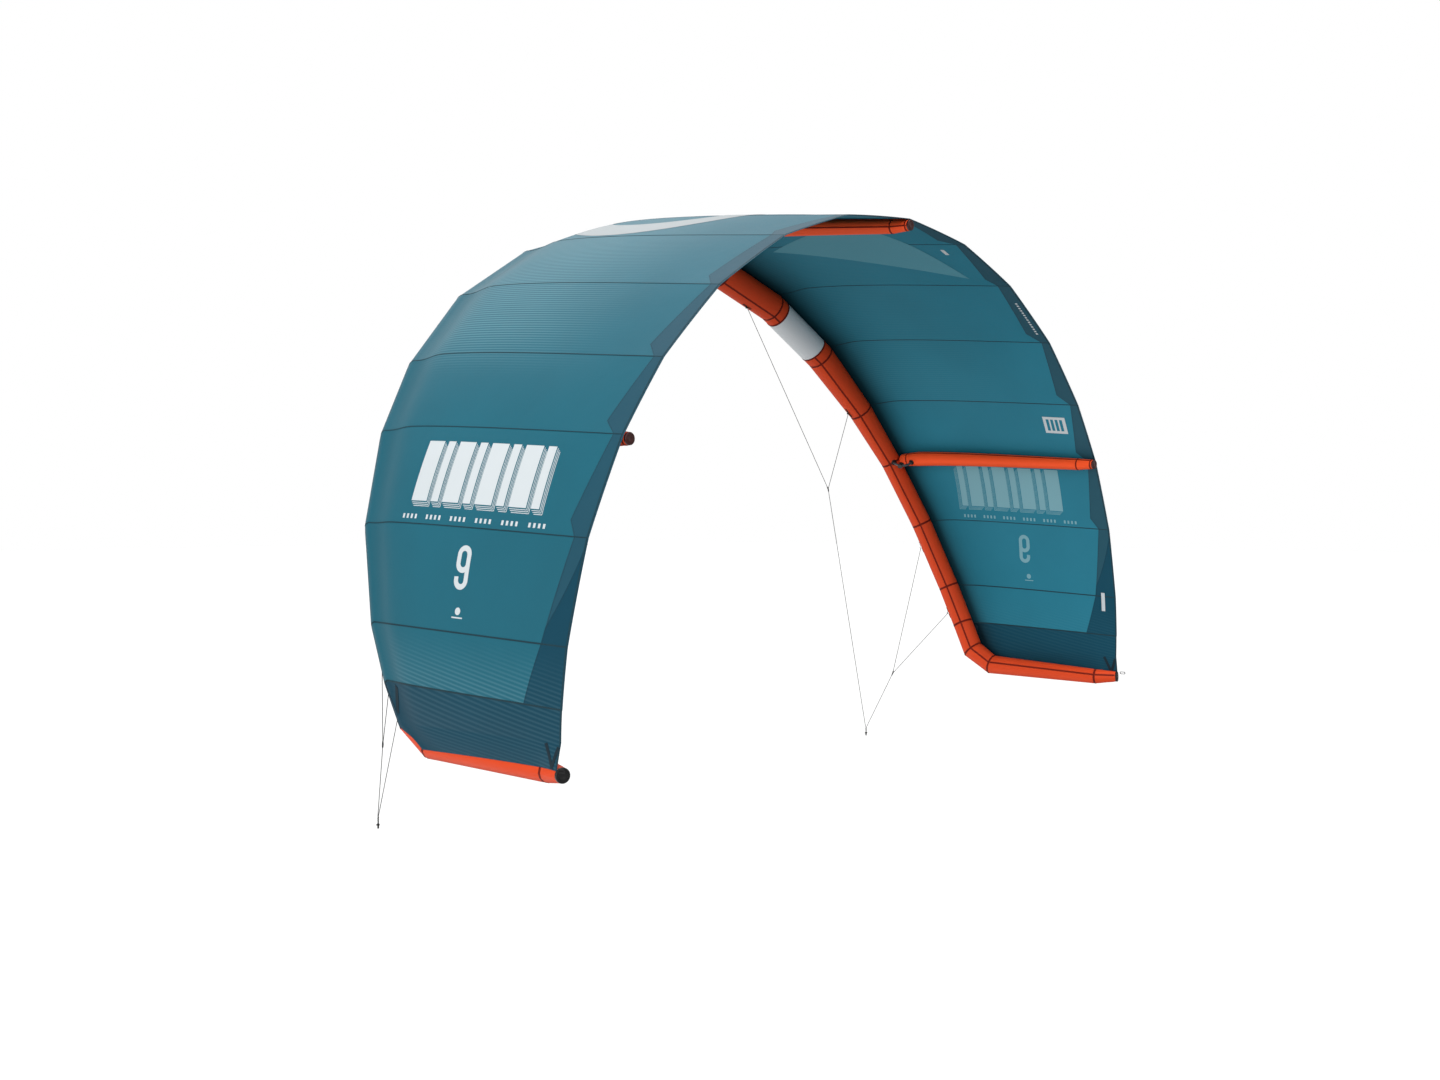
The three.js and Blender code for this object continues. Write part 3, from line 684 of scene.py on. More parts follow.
# painted light: a lighter copy of the sleeve orange for the struts, so that they look more brightly lit
STRUT_ORANGE_LIT = cloth("strut_orange_painted_light", srgb(248, 86, 40), 0.5, grid=0.0045, vary=0.07, specular=0.10)
ORANGE_TAPE = cloth("sleeve_seam_tape", srgb(112, 26, 12), 0.6, grid=0.002, specular=0.1)
WHITE = cloth("sleeve_white", srgb(218, 223, 226), 0.5, grid=0.0045, vary=0.03)
PRINT = cloth("print_white", srgb(198, 205, 208), 0.5, vary=0.03)
PALE = cloth("print_grey", srgb(163, 170, 173), 0.5, vary=0.03)
PRINT_INSIDE = cloth("print_showing_through", srgb(121, 168, 179), 0.6, vary=0.05, specular=0.1)
FAINT_INSIDE = cloth("pattern_showing_through", srgb(84, 146, 162), 0.6, vary=0.05, specular=0.1)
MARK = cloth("sewn_reinforcement", srgb(20, 40, 50), 0.7, grid=0.0016)
THREAD = braided("stitching_dark", srgb(18, 44, 54), 0.0006)
THREAD_RED = braided("stitching_red", srgb(78, 20, 12), 0.0006)
BLACK = moulded("moulded_black", srgb(8, 8, 9))
MAROON = moulded("moulded_maroon", srgb(52, 8, 6))
HOSE = moulded("hose_grey", srgb(72, 75, 78), 0.4, 900.0)
LINE = braided("bridle_line", srgb(32, 33, 35), 0.0012)
WEBBING = braided("webbing_black", srgb(20, 20, 22), 0.0015)
FILM = film("bladder_film", srgb(222, 226, 229))


# ---------------------------------------------------------------- camera

camera = bpy.data.objects.new("camera", bpy.data.cameras.new("camera"))
scene.collection.objects.link(camera)
camera.location = (-5.636, -3.753, -1.324)
camera.rotation_euler = (math.radians(90 - 0.93), 0, math.radians(-49.15))
camera.data.lens = 37.5
camera.data.sensor_width = 36
camera.data.clip_start, camera.data.clip_end = 0.1, 400
scene.camera = camera

# ---------------------------------------------------------------- bridles

LINE_DIAMETER = 0.003
FRONT_JUNCTION = vec(1.414, 1.507, -1.168)
REAR_JUNCTION = vec(1.862, 1.356, -2.272)
PIGTAIL_TOP = vec(1.784, 1.496, -2.600)
ATTACH = {"front_inner": 1.585, "front_outer": 3.875, "rear_inner": 6.318, "rear_outer": 7.625}


def attach_point(station, junction):
    """The line's first point, just off the tube, and the direction out of the tube there."""
    centre, radius = tube_at(station)
    along = tube_heading(station)
    way = unit(junction - centre)
    normal = unit(way - along * (way @ along))
    return centre + normal * (radius + 0.0025), normal


def knot_path(centre, size):
    """A stopper knot: the cord's closed three-lobed turn round itself."""
    path = []
    for i in range(73):
        t = 2 * math.pi * i / 72
        path.append(centre + size * vec(math.sin(t) + 2 * math.sin(2 * t), math.cos(t) - 2 * math.cos(2 * t),
                                        -1.15 * math.sin(3 * t)) / 3)
    return path


def add_pigtail(side, sign):
    """The short thick cord at the bridle's end, with a stopper knot and a whipped tail."""
    top = (PIGTAIL_TOP - vec(0, 0, 0.002)) * vec(sign, 1, 1)
    down = [top + vec(0.0006 * math.sin(i), 0.0006 * math.cos(1.3 * i), -0.0455 * i / 30) for i in range(31)]
    shank = round_tube_parts(down, 0.0029, 16)
    knot = round_tube_parts(knot_path(top + vec(0, 0, -0.034), 0.0062), 0.0021, 12)
    eye = [top + vec(0.0022 * math.sin(t), 0, 0.0004 + 0.0022 * math.cos(t))
           for t in np.linspace(0, 2 * math.pi, 25)]
    points, faces = joined([shank, knot, round_tube_parts(eye, 0.0009, 8)])
    body = f"pigtail_{side}"
    cord = put_mesh(f"pigtail_cord_{side}", points, faces, WEBBING, "bridle_line", body, [f"pigtail_{side}"])
    whipping = [(0.0, -0.0500), (0.0033, -0.0498), (0.0038, -0.0490)]
    for i in range(8):
        height = -0.0488 + 0.0012 * i
        whipping += [(0.0038, height), (0.0040, height + 0.0004), (0.0038, height + 0.0008)]
    whipping += [(0.0030, -0.0390), (0.0, -0.0388)]
    lathe(f"pigtail_whipping_{side}", whipping, top, vec(0, 0, 1), vec(1, 0, 0), BLACK, "bridle_line", body,
          sides=32)
    return cord


def add_line(side, sign, name, corners, far_end, pieces):
    """A taut bridle line through its corners, as one spline."""
    path = []
    for a, b in zip(corners, corners[1:]):
        steps = max(6, int(16 * np.linalg.norm(b - a) / 1.4))
        path += [mix(a, b, i / steps) for i in range(steps)]
    path = [p * vec(sign, 1, 1) for p in path + [corners[-1]]]
    label = f"bridle_{name}_{side}"
    curve = bpy.data.curves.new(label + "_curve", "CURVE")
    curve.dimensions = "3D"
    curve.bevel_depth = LINE_DIAMETER / 2
    curve.bevel_resolution = 3
    curve.use_fill_caps = True
    spline = curve.splines.new("POLY")
    spline.points.add(len(path) - 1)
    for point, place in zip(spline.points, path):
        point.co = (*place, 1)
    curve.materials.append(LINE)
    line = bpy.data.objects.new(label + "_line", curve)
    scene.collection.objects.link(line)
    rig.ride(line, "kite")
    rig.replaces(line, label)
    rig.slot(line, "bridle_line")
    length = sum(np.linalg.norm(b - a) for a, b in zip(corners, corners[1:]))
    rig.cord(line, exit=path[0], length=length, diameter=LINE_DIAMETER, far_end=far_end,
            stiffness="limp", lay="taut", with_pieces=pieces)


def add_splice(label, corners, sign):
    """The whipped splice where a branch line leaves a main line."""
    before, at, after = corners
    path = [mix(at, before, s / np.linalg.norm(before - at)) for s in (0.016, 0.012, 0.008, 0.004)] + [at]
    path += [mix(at, after, s / np.linalg.norm(after - at)) for s in (0.004, 0.008, 0.012, 0.016)]
    path = [p * vec(sign, 1, 1) for p in path]
    fine = [mix(a, b, i / 6) for a, b in zip(path, path[1:]) for i in range(6)] + [path[-1]]
    count = len(fine) - 1
    radii = [0.0019 + 0.0014 * math.sin(math.pi * i / count) ** 0.5 + (0.0004 if i % 2 else 0)
             for i in range(count + 1)]
    points, faces = round_tube_parts(fine, radii, 16)
    put_mesh(label, points, faces, WEBBING, "bridle_line", sharp=60)


def add_tab(label, station, at, normal, sign):
    """A webbing loop sewn along the tube, which a bridle line is tied to."""
    along = tube_heading(station)
    profile = ((-0.034, -0.0016), (-0.028, -0.0013), (-0.016, -0.0012), (-0.007, -0.0008), (-0.0042, 0.004),
               (-0.0022, 0.0072), (0.0, 0.0084), (0.0022, 0.0072), (0.0042, 0.004), (0.007, -0.0008),
               (0.016, -0.0012), (0.028, -0.0013), (0.034, -0.0016))
    path = [(at + along * a + normal * h) * vec(sign, 1, 1) for a, h in profile]
    wide = np.cross(along, normal) * vec(sign, 1, 1)
    points, faces = ribbon_parts(path, wide, 0.006, 0.0006)
    put_mesh(label, points, faces, WEBBING, "webbing_black", sharp=50)


def add_bridle(side, sign):
    tabs = {}
    for name, station in ATTACH.items():
        tabs[name] = attach_point(station, FRONT_JUNCTION if "front" in name else REAR_JUNCTION)
        add_tab(f"bridle_tab_{name}_{side}", station, *tabs[name], sign)
    pigtail = add_pigtail(side, sign)
    lines = (("front", FRONT_JUNCTION, vec(-3, 2, 1), [pigtail]), ("rear", REAR_JUNCTION, vec(3, -2, 1), []))
    for name, junction, shift, pieces in lines:
        main = [tabs[f"{name}_inner"][0], junction, PIGTAIL_TOP + shift / 1000]
        outer = tabs[f"{name}_outer"][0]
        branch = [outer, junction + unit(outer - junction) * 0.005]
        add_line(side, sign, f"{name}_main", main, "knot", pieces)
        add_line(side, sign, f"{name}_branch", branch, "object", [])
        add_splice(f"bridle_splice_{name}_{side}", main, sign)


for sign, side in SIDES:
    add_bridle(side, sign)


# ---------------------------------------------------------------- canopy

INNER, OUTER = 0.0008, 0.0016
SEAM_TAPE_HALF, SEAM_TAPE_LIFT = 0.0022, 0.0008
STITCH_SWING = 0.0013
SUB_ROWS = (0, 0.03, 0.09, 0.17, 0.26, 0.36, 0.46, 0.56, 0.66, 0.76, 0.85, 0.93, 0.975)
HALF_ROWS = [k + f for k in range(TIP) for f in SUB_ROWS] + [TIP]
ALL_ROWS = [-u for u in reversed(HALF_ROWS)] + HALF_ROWS[1:]
NOSE_SHARES = (-1, -0.8, -0.6, -0.4, -0.2)
CHORD_SHARES = (0, 0.006, 0.012, 0.019, 0.027, 0.036, 0.046, 0.057, 0.07, 0.085) + tuple(
    0.105 + 0.895 * i / 30 for i in range(31))
BAND_WIDTH = (0.050, 0.050, 0.075, 0.050, 0.050, 0.050, 0.067, 0.127, 0.190)
TOOTH, TOOTH_PLACE = 0.108, 0.85


WEDGE_END = 6 + TOOTH_PLACE


def arc_length(u):
    k = min(int(abs(u)), TIP - 1)
    return math.copysign(sum(WIDTHS[:k]) + WIDTHS[k] * (abs(u) - k), u)


def grid_of(rows, shares_of, lift):
    return [[surface(u, s, lift) for s in shares_of(u)] for u in rows]


def cloth_map(rows, shares_of):
    return [(arc_length(u), s * chord_at(u)) for u in rows for s in shares_of(u)] * 2


def stripe_map(rows, shares_of):
    """Where the cloth's fine printed lines run, and how strong they are."""
    found = []
    for u in rows:
        for s in shares_of(u):
            place = abs(u)
            if place > 6.5:
                slant, closeness, strength = 0.17, 0.62, 0.5 * ramp(place, 7.0, 8.0)
            else:
                slant, closeness = 0.0, 0.75
                strength = ramp(place, 0.4, 1.2) * (1 - ramp(place, 3.6, 4.4)) * (1 - ramp(s, 0.35, 0.85))
            phase = abs(arc_length(u)) - slant * s * chord_at(u)
            found.append((phase * closeness, strength))
    return found * 2


def painted_shade_map(rows, shares_of):
    """Painted shade: how dark the cloth is painted beside the tube and towards the wingtips' front, from 1 at the tube
    to 0.
    """
    found = []
    for u in rows:
        for s in shares_of(u):
            away = max(s * chord_at(u) - 0.06, 0.0) / mix(0.17, 0.05, ramp(abs(u), 1.5, 5.5))
            # painted shade towards the wingtips, over the front part of the chord
            tip = 0.35 * ramp(abs(u), 8.2, 10.0) * (1 - ramp(s, 0.5, 1.0))
            found.append((min(0.92 * math.exp(-away ** 1.3) + tip, 0.92), 0.0))
    return found * 2


def all_maps(rows, shares_of):
    return {"cloth": cloth_map(rows, shares_of), "stripes": stripe_map(rows, shares_of),
            "painted_shade": painted_shade_map(rows, shares_of)}


def cloth_parts(rows, shares_of, extra=0.0):
    """A layer of cloth over the canopy's rows, extra thicker than the canopy on both of its faces."""
    top = grid_of(rows, shares_of, OUTER + extra)
    return slab_parts(top, grid_of(rows, shares_of, INNER - extra))


def add_canopy():
    shares = NOSE_SHARES + tuple(s * 0.9985 for s in CHORD_SHARES)

    def shares_of(_):
        return shares
    points, faces, kinds = cloth_parts(ALL_ROWS, shares_of)
    columns, half = len(shares), len(ALL_ROWS) * len(shares)
    finishes = []
    for face, kind in zip(faces, kinds):
        row = min(i % half for i in face) // columns
        navy = abs(ALL_ROWS[row] + ALL_ROWS[min(row + 1, len(ALL_ROWS) - 1)]) / 2 > LAST_SEAM
        finishes.append((1 if navy else 0) + (2 if kind == 1 else 0))
    panels = [f"canopy_panel_{side}_{k}" for _, side in SIDES for k in range(1, 10)]
    return put_mesh("canopy_cloth", points, faces, [TEAL, NAVY, TEAL_INSIDE, NAVY_INSIDE], "canopy_teal",
                    stands_for=panels, kinds=finishes, uvs=all_maps(ALL_ROWS, shares_of))


def band_width(u):
    k = min(int(abs(u)), LAST_SEAM)
    f = abs(u) - k
    if k == LAST_SEAM:
        return BAND_WIDTH[k]
    if k > 5:
        return mix(BAND_WIDTH[k], BAND_WIDTH[k + 1], f)
    if f < TOOTH_PLACE:
        return mix(BAND_WIDTH[k], TOOTH, f / TOOTH_PLACE)
    return mix(TOOTH, BAND_WIDTH[k + 1], (f - TOOTH_PLACE) / (1 - TOOTH_PLACE))


def band_front(u):
    return 1 - band_width(u) / chord_at(u)


def wedge_front(u):
    """Where the dark cloth starts behind the slate wedge, from seam 6 outward."""
    return mix(1, band_front(u), min((abs(u) - 6) / TOOTH_PLACE, 1.0))


def slate_back(u):
    return 1 if abs(u) <= 6 else wedge_front(u)


def navy_front(u):
    return wedge_front(u) if abs(u) < WEDGE_END else band_front(u)


def hem(_):
    return 1


def add_overlay(name, rows, front, back, materials, extra, slot, stands_for=()):
    """Cloth sewn over both faces of the canopy, from one share of the chord to another."""
    steps = 6

    def shares_of(u):
        return [mix(front(u), back(u), i / steps) for i in range(steps + 1)]
    points, faces, kinds = cloth_parts(rows, shares_of, extra)
    return put_mesh(name, points, faces, materials, slot, stands_for=stands_for,
                    kinds=[min(kind, 1) for kind in kinds], uvs=all_maps(rows, shares_of))


def add_trailing_band():
    rows = [u for u in ALL_ROWS if abs(u) <= WEDGE_END]
    pieces = [add_overlay("trailing_edge_band_cloth", rows, band_front, slate_back, [SLATE, SLATE_INSIDE],
                          0.0005, "canopy_slate", ["trailing_edge_band"])]
    for sign, side in SIDES:
        rows = [sign * u for u in HALF_ROWS if 6 <= u <= 8]
        pieces.append(add_overlay(f"wingtip_band_{side}", rows, navy_front, hem, [NAVY, NAVY_INSIDE],
                                  0.0006, "canopy_navy"))
    return pieces


def strip_parts(path_of, count, half_width, lift_out, lift_in):
    """A thin tape over both faces of the canopy, along path_of(t) = (u, share) for t from 0 to 1."""
    top, under = [], []
    for i in range(count + 1):
        u, s = path_of(i / count)
        ahead, behind = path_of(min((i + 0.5) / count, 1)), path_of(max((i - 0.5) / count, 0))
        du = arc_length(ahead[0]) - arc_length(behind[0])
        ds = (ahead[1] - behind[1]) * chord_at(u)
        size = math.hypot(du, ds)
        k = min(int(abs(u)), TIP - 1)
        for rows, lift in ((top, lift_out), (under, lift_in)):
            rows.append([surface(u + ds / size * w / WIDTHS[k] * half_width,
                                 s - du / size * w * half_width / chord_at(u), lift) for w in (-1, 0, 1)])
    points, faces, _ = slab_parts(top, under)
    return points, faces


def zigzag_parts(point_of, length, pitch, half_width):
    """A zigzag stitch: point_of(along, aside) places it, along from 0 to 1 and aside in metres."""
    count = max(int(length / pitch), 4)
    points, faces = [], []
    for i in range(count + 1):
        swing = half_width if i % 2 else -half_width
        points += [point_of(i / count, swing - 0.0006), point_of(i / count, swing + 0.0006)]
        if i:
            a = 2 * i
            faces.append((a - 2, a - 1, a + 1, a))
    return points, faces


def plain_map(points):
    return {"cloth": [(p[0] + p[2], p[1]) for p in points]}


def add_seams():
    """The tape and stitching of the seams between panels, the cloth's front edge and its trailing hem."""
    tapes, stitches = [], []
    seams = [0] + [s * k for k in range(1, LAST_SEAM + 1) for s in (-1, 1)]
    for k in seams:
        k = k if k else 1e-6

        def line(t, k=k):
            return k, mix(-0.98, 0.998, t)
        tapes.append(strip_parts(line, 70, SEAM_TAPE_HALF, OUTER + SEAM_TAPE_LIFT, INNER - SEAM_TAPE_LIFT))
        for lift in (OUTER + 0.00095, INNER - 0.00095):
            def stitch(t, aside, k=k, lift=lift):
                return surface(k + aside / WIDTHS[min(int(abs(k)), TIP - 1)], mix(-0.9, 0.995, t), lift)
            stitches.append(zigzag_parts(stitch, 1.5, 0.0055, STITCH_SWING))
    edge_rows = len(ALL_ROWS) - 1
    for share, width in ((-0.97, 0.006), (0.9945, 0.0035)):
        def edge(t, share=share):
            return mix(-9.98, 9.98, t), share
        under = 0.0004 if share < 0 else 0.0010
        tapes.append(strip_parts(edge, edge_rows, width, OUTER + 0.0010, INNER - under))
        for lift in (OUTER + 0.00115, INNER - 0.00115)[:1 if share < 0 else 2]:
            def stitch(t, aside, share=share, lift=lift):
                u = mix(-9.95, 9.95, t)
                return surface(u, share + aside / chord_at(u) * (1 if share > 0 else 9), lift)
            stitches.append(zigzag_parts(stitch, 6.6, 0.007, STITCH_SWING))
    for name, parts, material, slot in (("canopy_seam_tape", tapes, TAPE, "canopy_navy"),
                                        ("canopy_stitching", stitches, THREAD, "webbing_black")):
        points, faces = joined(parts)
        yield put_mesh(name, points, faces, material, slot, uvs=plain_map(points), sharp=60)


def add_band_stitches():
    """Stitching along the shark-tooth front of the trailing-edge band and of the dark wingtip cloth."""
    parts = []
    lines = ((band_front, -8, 8, 5.6), (wedge_front, -6.05, -WEDGE_END, 0.4),
             (wedge_front, 6.05, WEDGE_END, 0.4))
    for front, low, high, length in lines:
        for lift in (OUTER + 0.00075, INNER - 0.00075):
            def stitch(t, aside, front=front, low=low, high=high, lift=lift):
                u = mix(low, high, t)
                return surface(u, front(u) + (0.004 + aside) / chord_at(u), lift)
            parts.append(zigzag_parts(stitch, length, 0.006, 0.0018))
    points, faces = joined(parts)
    return put_mesh("band_stitching", points, faces, THREAD, "webbing_black", sharp=60)


def add_corner_marks():
    """Dark V-shaped reinforcements at the trailing corner and at the front of the last seam."""
    parts = []
    for sign, _ in SIDES:
        for ends in (((9.05, 0.915), (9.96, 0.955)), ((9.15, 0.99), (9.96, 0.955)),
                     ((8.10, 0.055), (8.75, 0.0)), ((8.10, -0.6), (8.75, -0.2))):
            def path(t, ends=ends, sign=sign):
                (ua, sa), (ub, sb) = ends
                return sign * mix(ua, ub, t), mix(sa, sb, t)
            parts.append(strip_parts(path, 14, 0.0075, OUTER + 0.0012, INNER - 0.0006))
    points, faces = joined(parts)
    return put_mesh("corner_reinforcements", points, faces, MARK, "webbing_black", uvs=plain_map(points))


# ---------------------------------------------------------------- printed graphics

def patch(corners, nx, ny):
    """A four-cornered flat shape, split small enough to follow the cloth."""
    a, b, c, d = (vec(*p) for p in corners)
    points = [mix(mix(a, b, i / nx), mix(d, c, i / nx), j / ny) for j in range(ny + 1) for i in range(nx + 1)]
    corners = [j * (nx + 1) + i for j in range(ny) for i in range(nx)]
    faces = [(n, n + 1, n + nx + 2, n + nx + 1) for n in corners]
    return points, faces


def brush(path, width, closed=False):
    """A stroke of even width along a flat path."""
    path = [vec(*p) for p in path]
    count = len(path)
    points, faces = [], []
    for i, p in enumerate(path):
        ahead = path[(i + 1) % count] if closed else path[min(i + 1, count - 1)]
        behind = path[i - 1] if closed or i else path[0]
        along = unit(ahead - behind)
        side = vec(-along[1], along[0])
        points += [p + side * (w * width / 2) for w in (-1, 0, 1)]
        if i or closed:
            a, b = 3 * ((i - 1) % count), 3 * i
            faces += [(a, a + 1, b + 1, b), (a + 1, a + 2, b + 2, b + 1)]
    return points, faces


def slanted(x, y):
    return x + 0.07 * y, y


def slanted_box(x, wide, half, nx, ny):
    """A slanted bar from x to x + wide, reaching half out and half in."""
    ends = ((x, -half), (x + wide, -half), (x + wide, half), (x, half))
    return patch([slanted(*end) for end in ends], nx, ny)


BAR_HALF, WIDE_BAR, NARROW_BAR, BAR_GAP = 0.125, 0.088, 0.040, 0.024
ECHO_STEP, ECHO_WIDTH = 0.0068, 0.0026
STROKE, BOWL = 0.021, 0.025
RING_HOLE, RING_RIM = (0.30, 0.23), (0.46, 0.43)


def bar_shapes():
    """Slanted bars, wide and narrow in turn, each with three thin echoes down and to the right."""
    parts, x = [], -0.345
    for i in range(8):
        wide = NARROW_BAR if i % 2 else WIDE_BAR
        parts.append(slanted_box(x, wide, BAR_HALF, 3, 8))
        for echo in (1, 2, 3):
            off = ECHO_STEP * echo
            right, low = x + wide + off, BAR_HALF + off
            for a, b in (((right, off - BAR_HALF), (right, low)), ((right, low), (x + off, low))):
                start, end = vec(*slanted(*a)), vec(*slanted(*b))
                parts.append(brush([mix(start, end, t / 8) for t in range(9)], ECHO_WIDTH))
        x += wide + BAR_GAP
    return parts


def dash_shapes():
    """Six groups of four short dashes."""
    return [slanted_box(-0.385 + 0.135 * group + 0.0235 * dash, 0.011, 0.009, 1, 1)
            for group in range(6) for dash in range(4)]


def numeral_shapes():
    """The size numeral: a long bowl and a hooked tail, drawn with one even stroke."""
    bowl = [(BOWL * math.cos(t), -0.036 + BOWL * math.sin(t) + (0.016 if math.sin(t) > 0 else -0.016))
            for t in np.linspace(0, 2 * math.pi, 40, endpoint=False)]
    tail = [(BOWL, y) for y in np.linspace(-0.045, 0.038, 9)]
    tail += [(BOWL * math.cos(t), 0.042 + BOWL * math.sin(t)) for t in np.linspace(0.15, math.pi, 14)]
    tail += [(-BOWL, 0.030)]
    return [brush([slanted(x, y) for x, y in bowl], STROKE, True),
            brush([slanted(x, y) for x, y in tail], STROKE)]


def plain_box(x, y, nx, ny, middle=0.0):
    """An upright box, x to each side and y to each side of a middle."""
    return patch([(-x, middle - y), (x, middle - y), (x, middle + y), (-x, middle + y)], nx, ny)


def badge_shapes():
    disc = [(0.0001 + 0.007 * math.cos(t), 0.007 * math.sin(t))
            for t in np.linspace(0, 2 * math.pi, 24, endpoint=False)]
    return [brush(disc, 0.0138, True), plain_box(0.028, 0.0025, 4, 1, 0.0235)]


def ring_shapes():
    points, faces, count = [], [], 96
    for j in range(9):
        along, across = (mix(RING_HOLE[i], RING_RIM[i], j / 8) for i in (0, 1))
        for i in range(count):
            t = 2 * math.pi * i / count
            points.append(vec(along * math.cos(t), across * math.sin(t)))
    for j in range(8):
        for i in range(count):
            a, b = j * count + i, j * count + (i + 1) % count
            faces.append((a, b, b + count, a + count))
    return [(points, faces)]


def label_shapes():
    return [slanted_box(-0.07, 0.14, 0.052, 6, 5)]


def label_bars():
    return [slanted_box(-0.05 + 0.028 * i, 0.018, 0.036, 1, 4) for i in range(4)]


def triangle_shapes():
    """The large plain triangle on the right half, drawn in seams and shares instead of metres."""
    a, b, c = vec(1.12, 0.20), vec(1.84, 0.87), vec(0.22, 0.72)
    return [patch([a, a, b, c], 12, 30)]


def place_print(name, shapes, u0, share0, sign, flip, faces_out, plain=False, lift=0.0004, material=None):
    """Lays flat shapes on the canopy: x runs towards the trailing edge, y out along the arch. Shapes that
    are plain are in seams and shares already."""
    points, faces = joined(shapes)
    placed = []
    for x, y in points:
        if plain:
            u, s = x, y
        else:
            k = min(int(u0 + y / WIDTHS[min(int(u0), TIP - 1)]), TIP - 1)
            u = u0 + y / WIDTHS[k]
            s = 1 - ((1 - share0) * chord_at(u0) - flip * x) / chord_at(u)
        placed.append(surface(sign * u, s, OUTER + lift if faces_out else INNER - lift))
    material = material or (PRINT if faces_out else PRINT_INSIDE)
    uvs = {"cloth": [tuple(p) for p in points]}
    return put_mesh(name, placed, faces, material, "sleeve_white", uvs=uvs, sharp=0)


def add_prints():
    pieces = []
    for sign, side in SIDES:
        for where, out in (("outer", True), ("inner", False)):
            faint = PALE if out else FAINT_INSIDE

            def put(label, shapes, u0, share0, where=where, out=out, sign=sign, side=side, **more):
                name = f"print_{label}_{where}_{side}"
                pieces.append(place_print(name, shapes, u0, share0, sign, -sign, out, **more))
            put("bars", bar_shapes(), 5.47, 0.52)
            put("dashes", dash_shapes(), 5.93, 0.52)
            put("numeral", numeral_shapes(), 6.40, 0.505)
            put("badge", badge_shapes(), 6.80, 0.49)
            if not out:
                put("label", label_shapes(), 4.38, 0.865, lift=0.0010, material=PRINT)
                put("label_bars", label_bars(), 4.38, 0.865, lift=0.0013, material=TEAL_INSIDE)
            if sign < 0:
                put("ring", ring_shapes(), 1.0, 0.34, lift=0.0010, material=faint)
            else:
                put("triangle", triangle_shapes(), 1, 0, plain=True, lift=0.0010, material=faint)
        skewed = patch([(-0.010, -0.028), (0.012, -0.028), (0.010, 0.028), (-0.012, 0.028)], 2, 4)
        marks = [plain_box(0.006, 0.0055, 1, 1, y + 0.0055) for y in np.arange(-0.13, 0.12, 0.019)]
        tags = (("wingtip", [plain_box(0.011, 0.060, 2, 8)], 7.1, 0.925, 0.0010),
                ("middle", [skewed], 1.2, 0.89, 0.0004), ("band", marks, 2.58, 0.972, 0.0009))
        for label, shapes, u0, share0, lift in tags:
            name = f"tag_{label}_{side}"
            pieces.append(place_print(name, shapes, u0, share0, sign, 1, False, lift=lift, material=PRINT))
    return pieces


canopy = add_canopy()
with_canopy = add_trailing_band() + list(add_seams())
with_canopy += [add_band_stitches(), add_corner_marks()] + add_prints()
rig.sheet(canopy, flat=(6.80, 1.53), held="stretched", rests_on=["le_sleeve_center"], area=9.0,
         with_pieces=with_canopy)


# ---------------------------------------------------------------- inflated tubes

SIDES_OF_TUBE = 72
TUBE_TURNS = [2 * math.pi * j / SIDES_OF_TUBE for j in range(SIDES_OF_TUBE)]
TAPE_LIFT = 0.0008
TAPE_EDGE = ((-1, -0.001), (-1, TAPE_LIFT), (1, TAPE_LIFT), (1, -0.001))


def add_sleeve(name, start, end, material, slot, node):
    rings, place = [], []
    for station in stations_between(start, end):
        radius = tube_at(station)[1]
        rings.append([tube_point(station, turn) for turn in TUBE_TURNS])
        place += [(tube_distance(station), turn * radius) for turn in TUBE_TURNS]
    points, faces = loft_parts(rings, caps=False)
    put_mesh(name, points, faces, material, slot, stands_for=[node], uvs={"cloth": place}, sharp=0)


def add_sleeves():
    start, end = WHITE_BAND
    add_sleeve("le_cloth_center", -start, start, ORANGE, "sleeve_orange", "le_sleeve_center")
    for sign, side in SIDES:
        band, outer = sorted((sign * start, sign * end)), sorted((sign * end, sign * LAST_JOINT))
        add_sleeve(f"le_band_cloth_{side}", *band, WHITE, "sleeve_white", f"le_white_band_{side}")
        add_sleeve(f"le_cloth_{side}", *outer, ORANGE, "sleeve_orange", f"le_sleeve_{side}")


def slide(station, distance):
    """The station a distance in metres further out along the tube."""
    place = abs(station)
    joint = int(place + (1e-6 if distance > 0 else -1e-6))
    return math.copysign(1, station) * (place + distance / STRETCHES[min(joint, LAST_JOINT - 1)])


def ring_tape(station, half_width, lift):
    """Tape round the tube at a station."""
    rings = []
    crown = lift * 1.5
    for aside, height in ((-1, -0.002), (-1, lift), (-0.35, crown), (0.35, crown), (1, lift), (1, -0.002)):
        place = slide(station, aside * half_width)
        rings.append([tube_point(place, turn, height) for turn in TUBE_TURNS])
    return loft_parts(rings, caps=False)


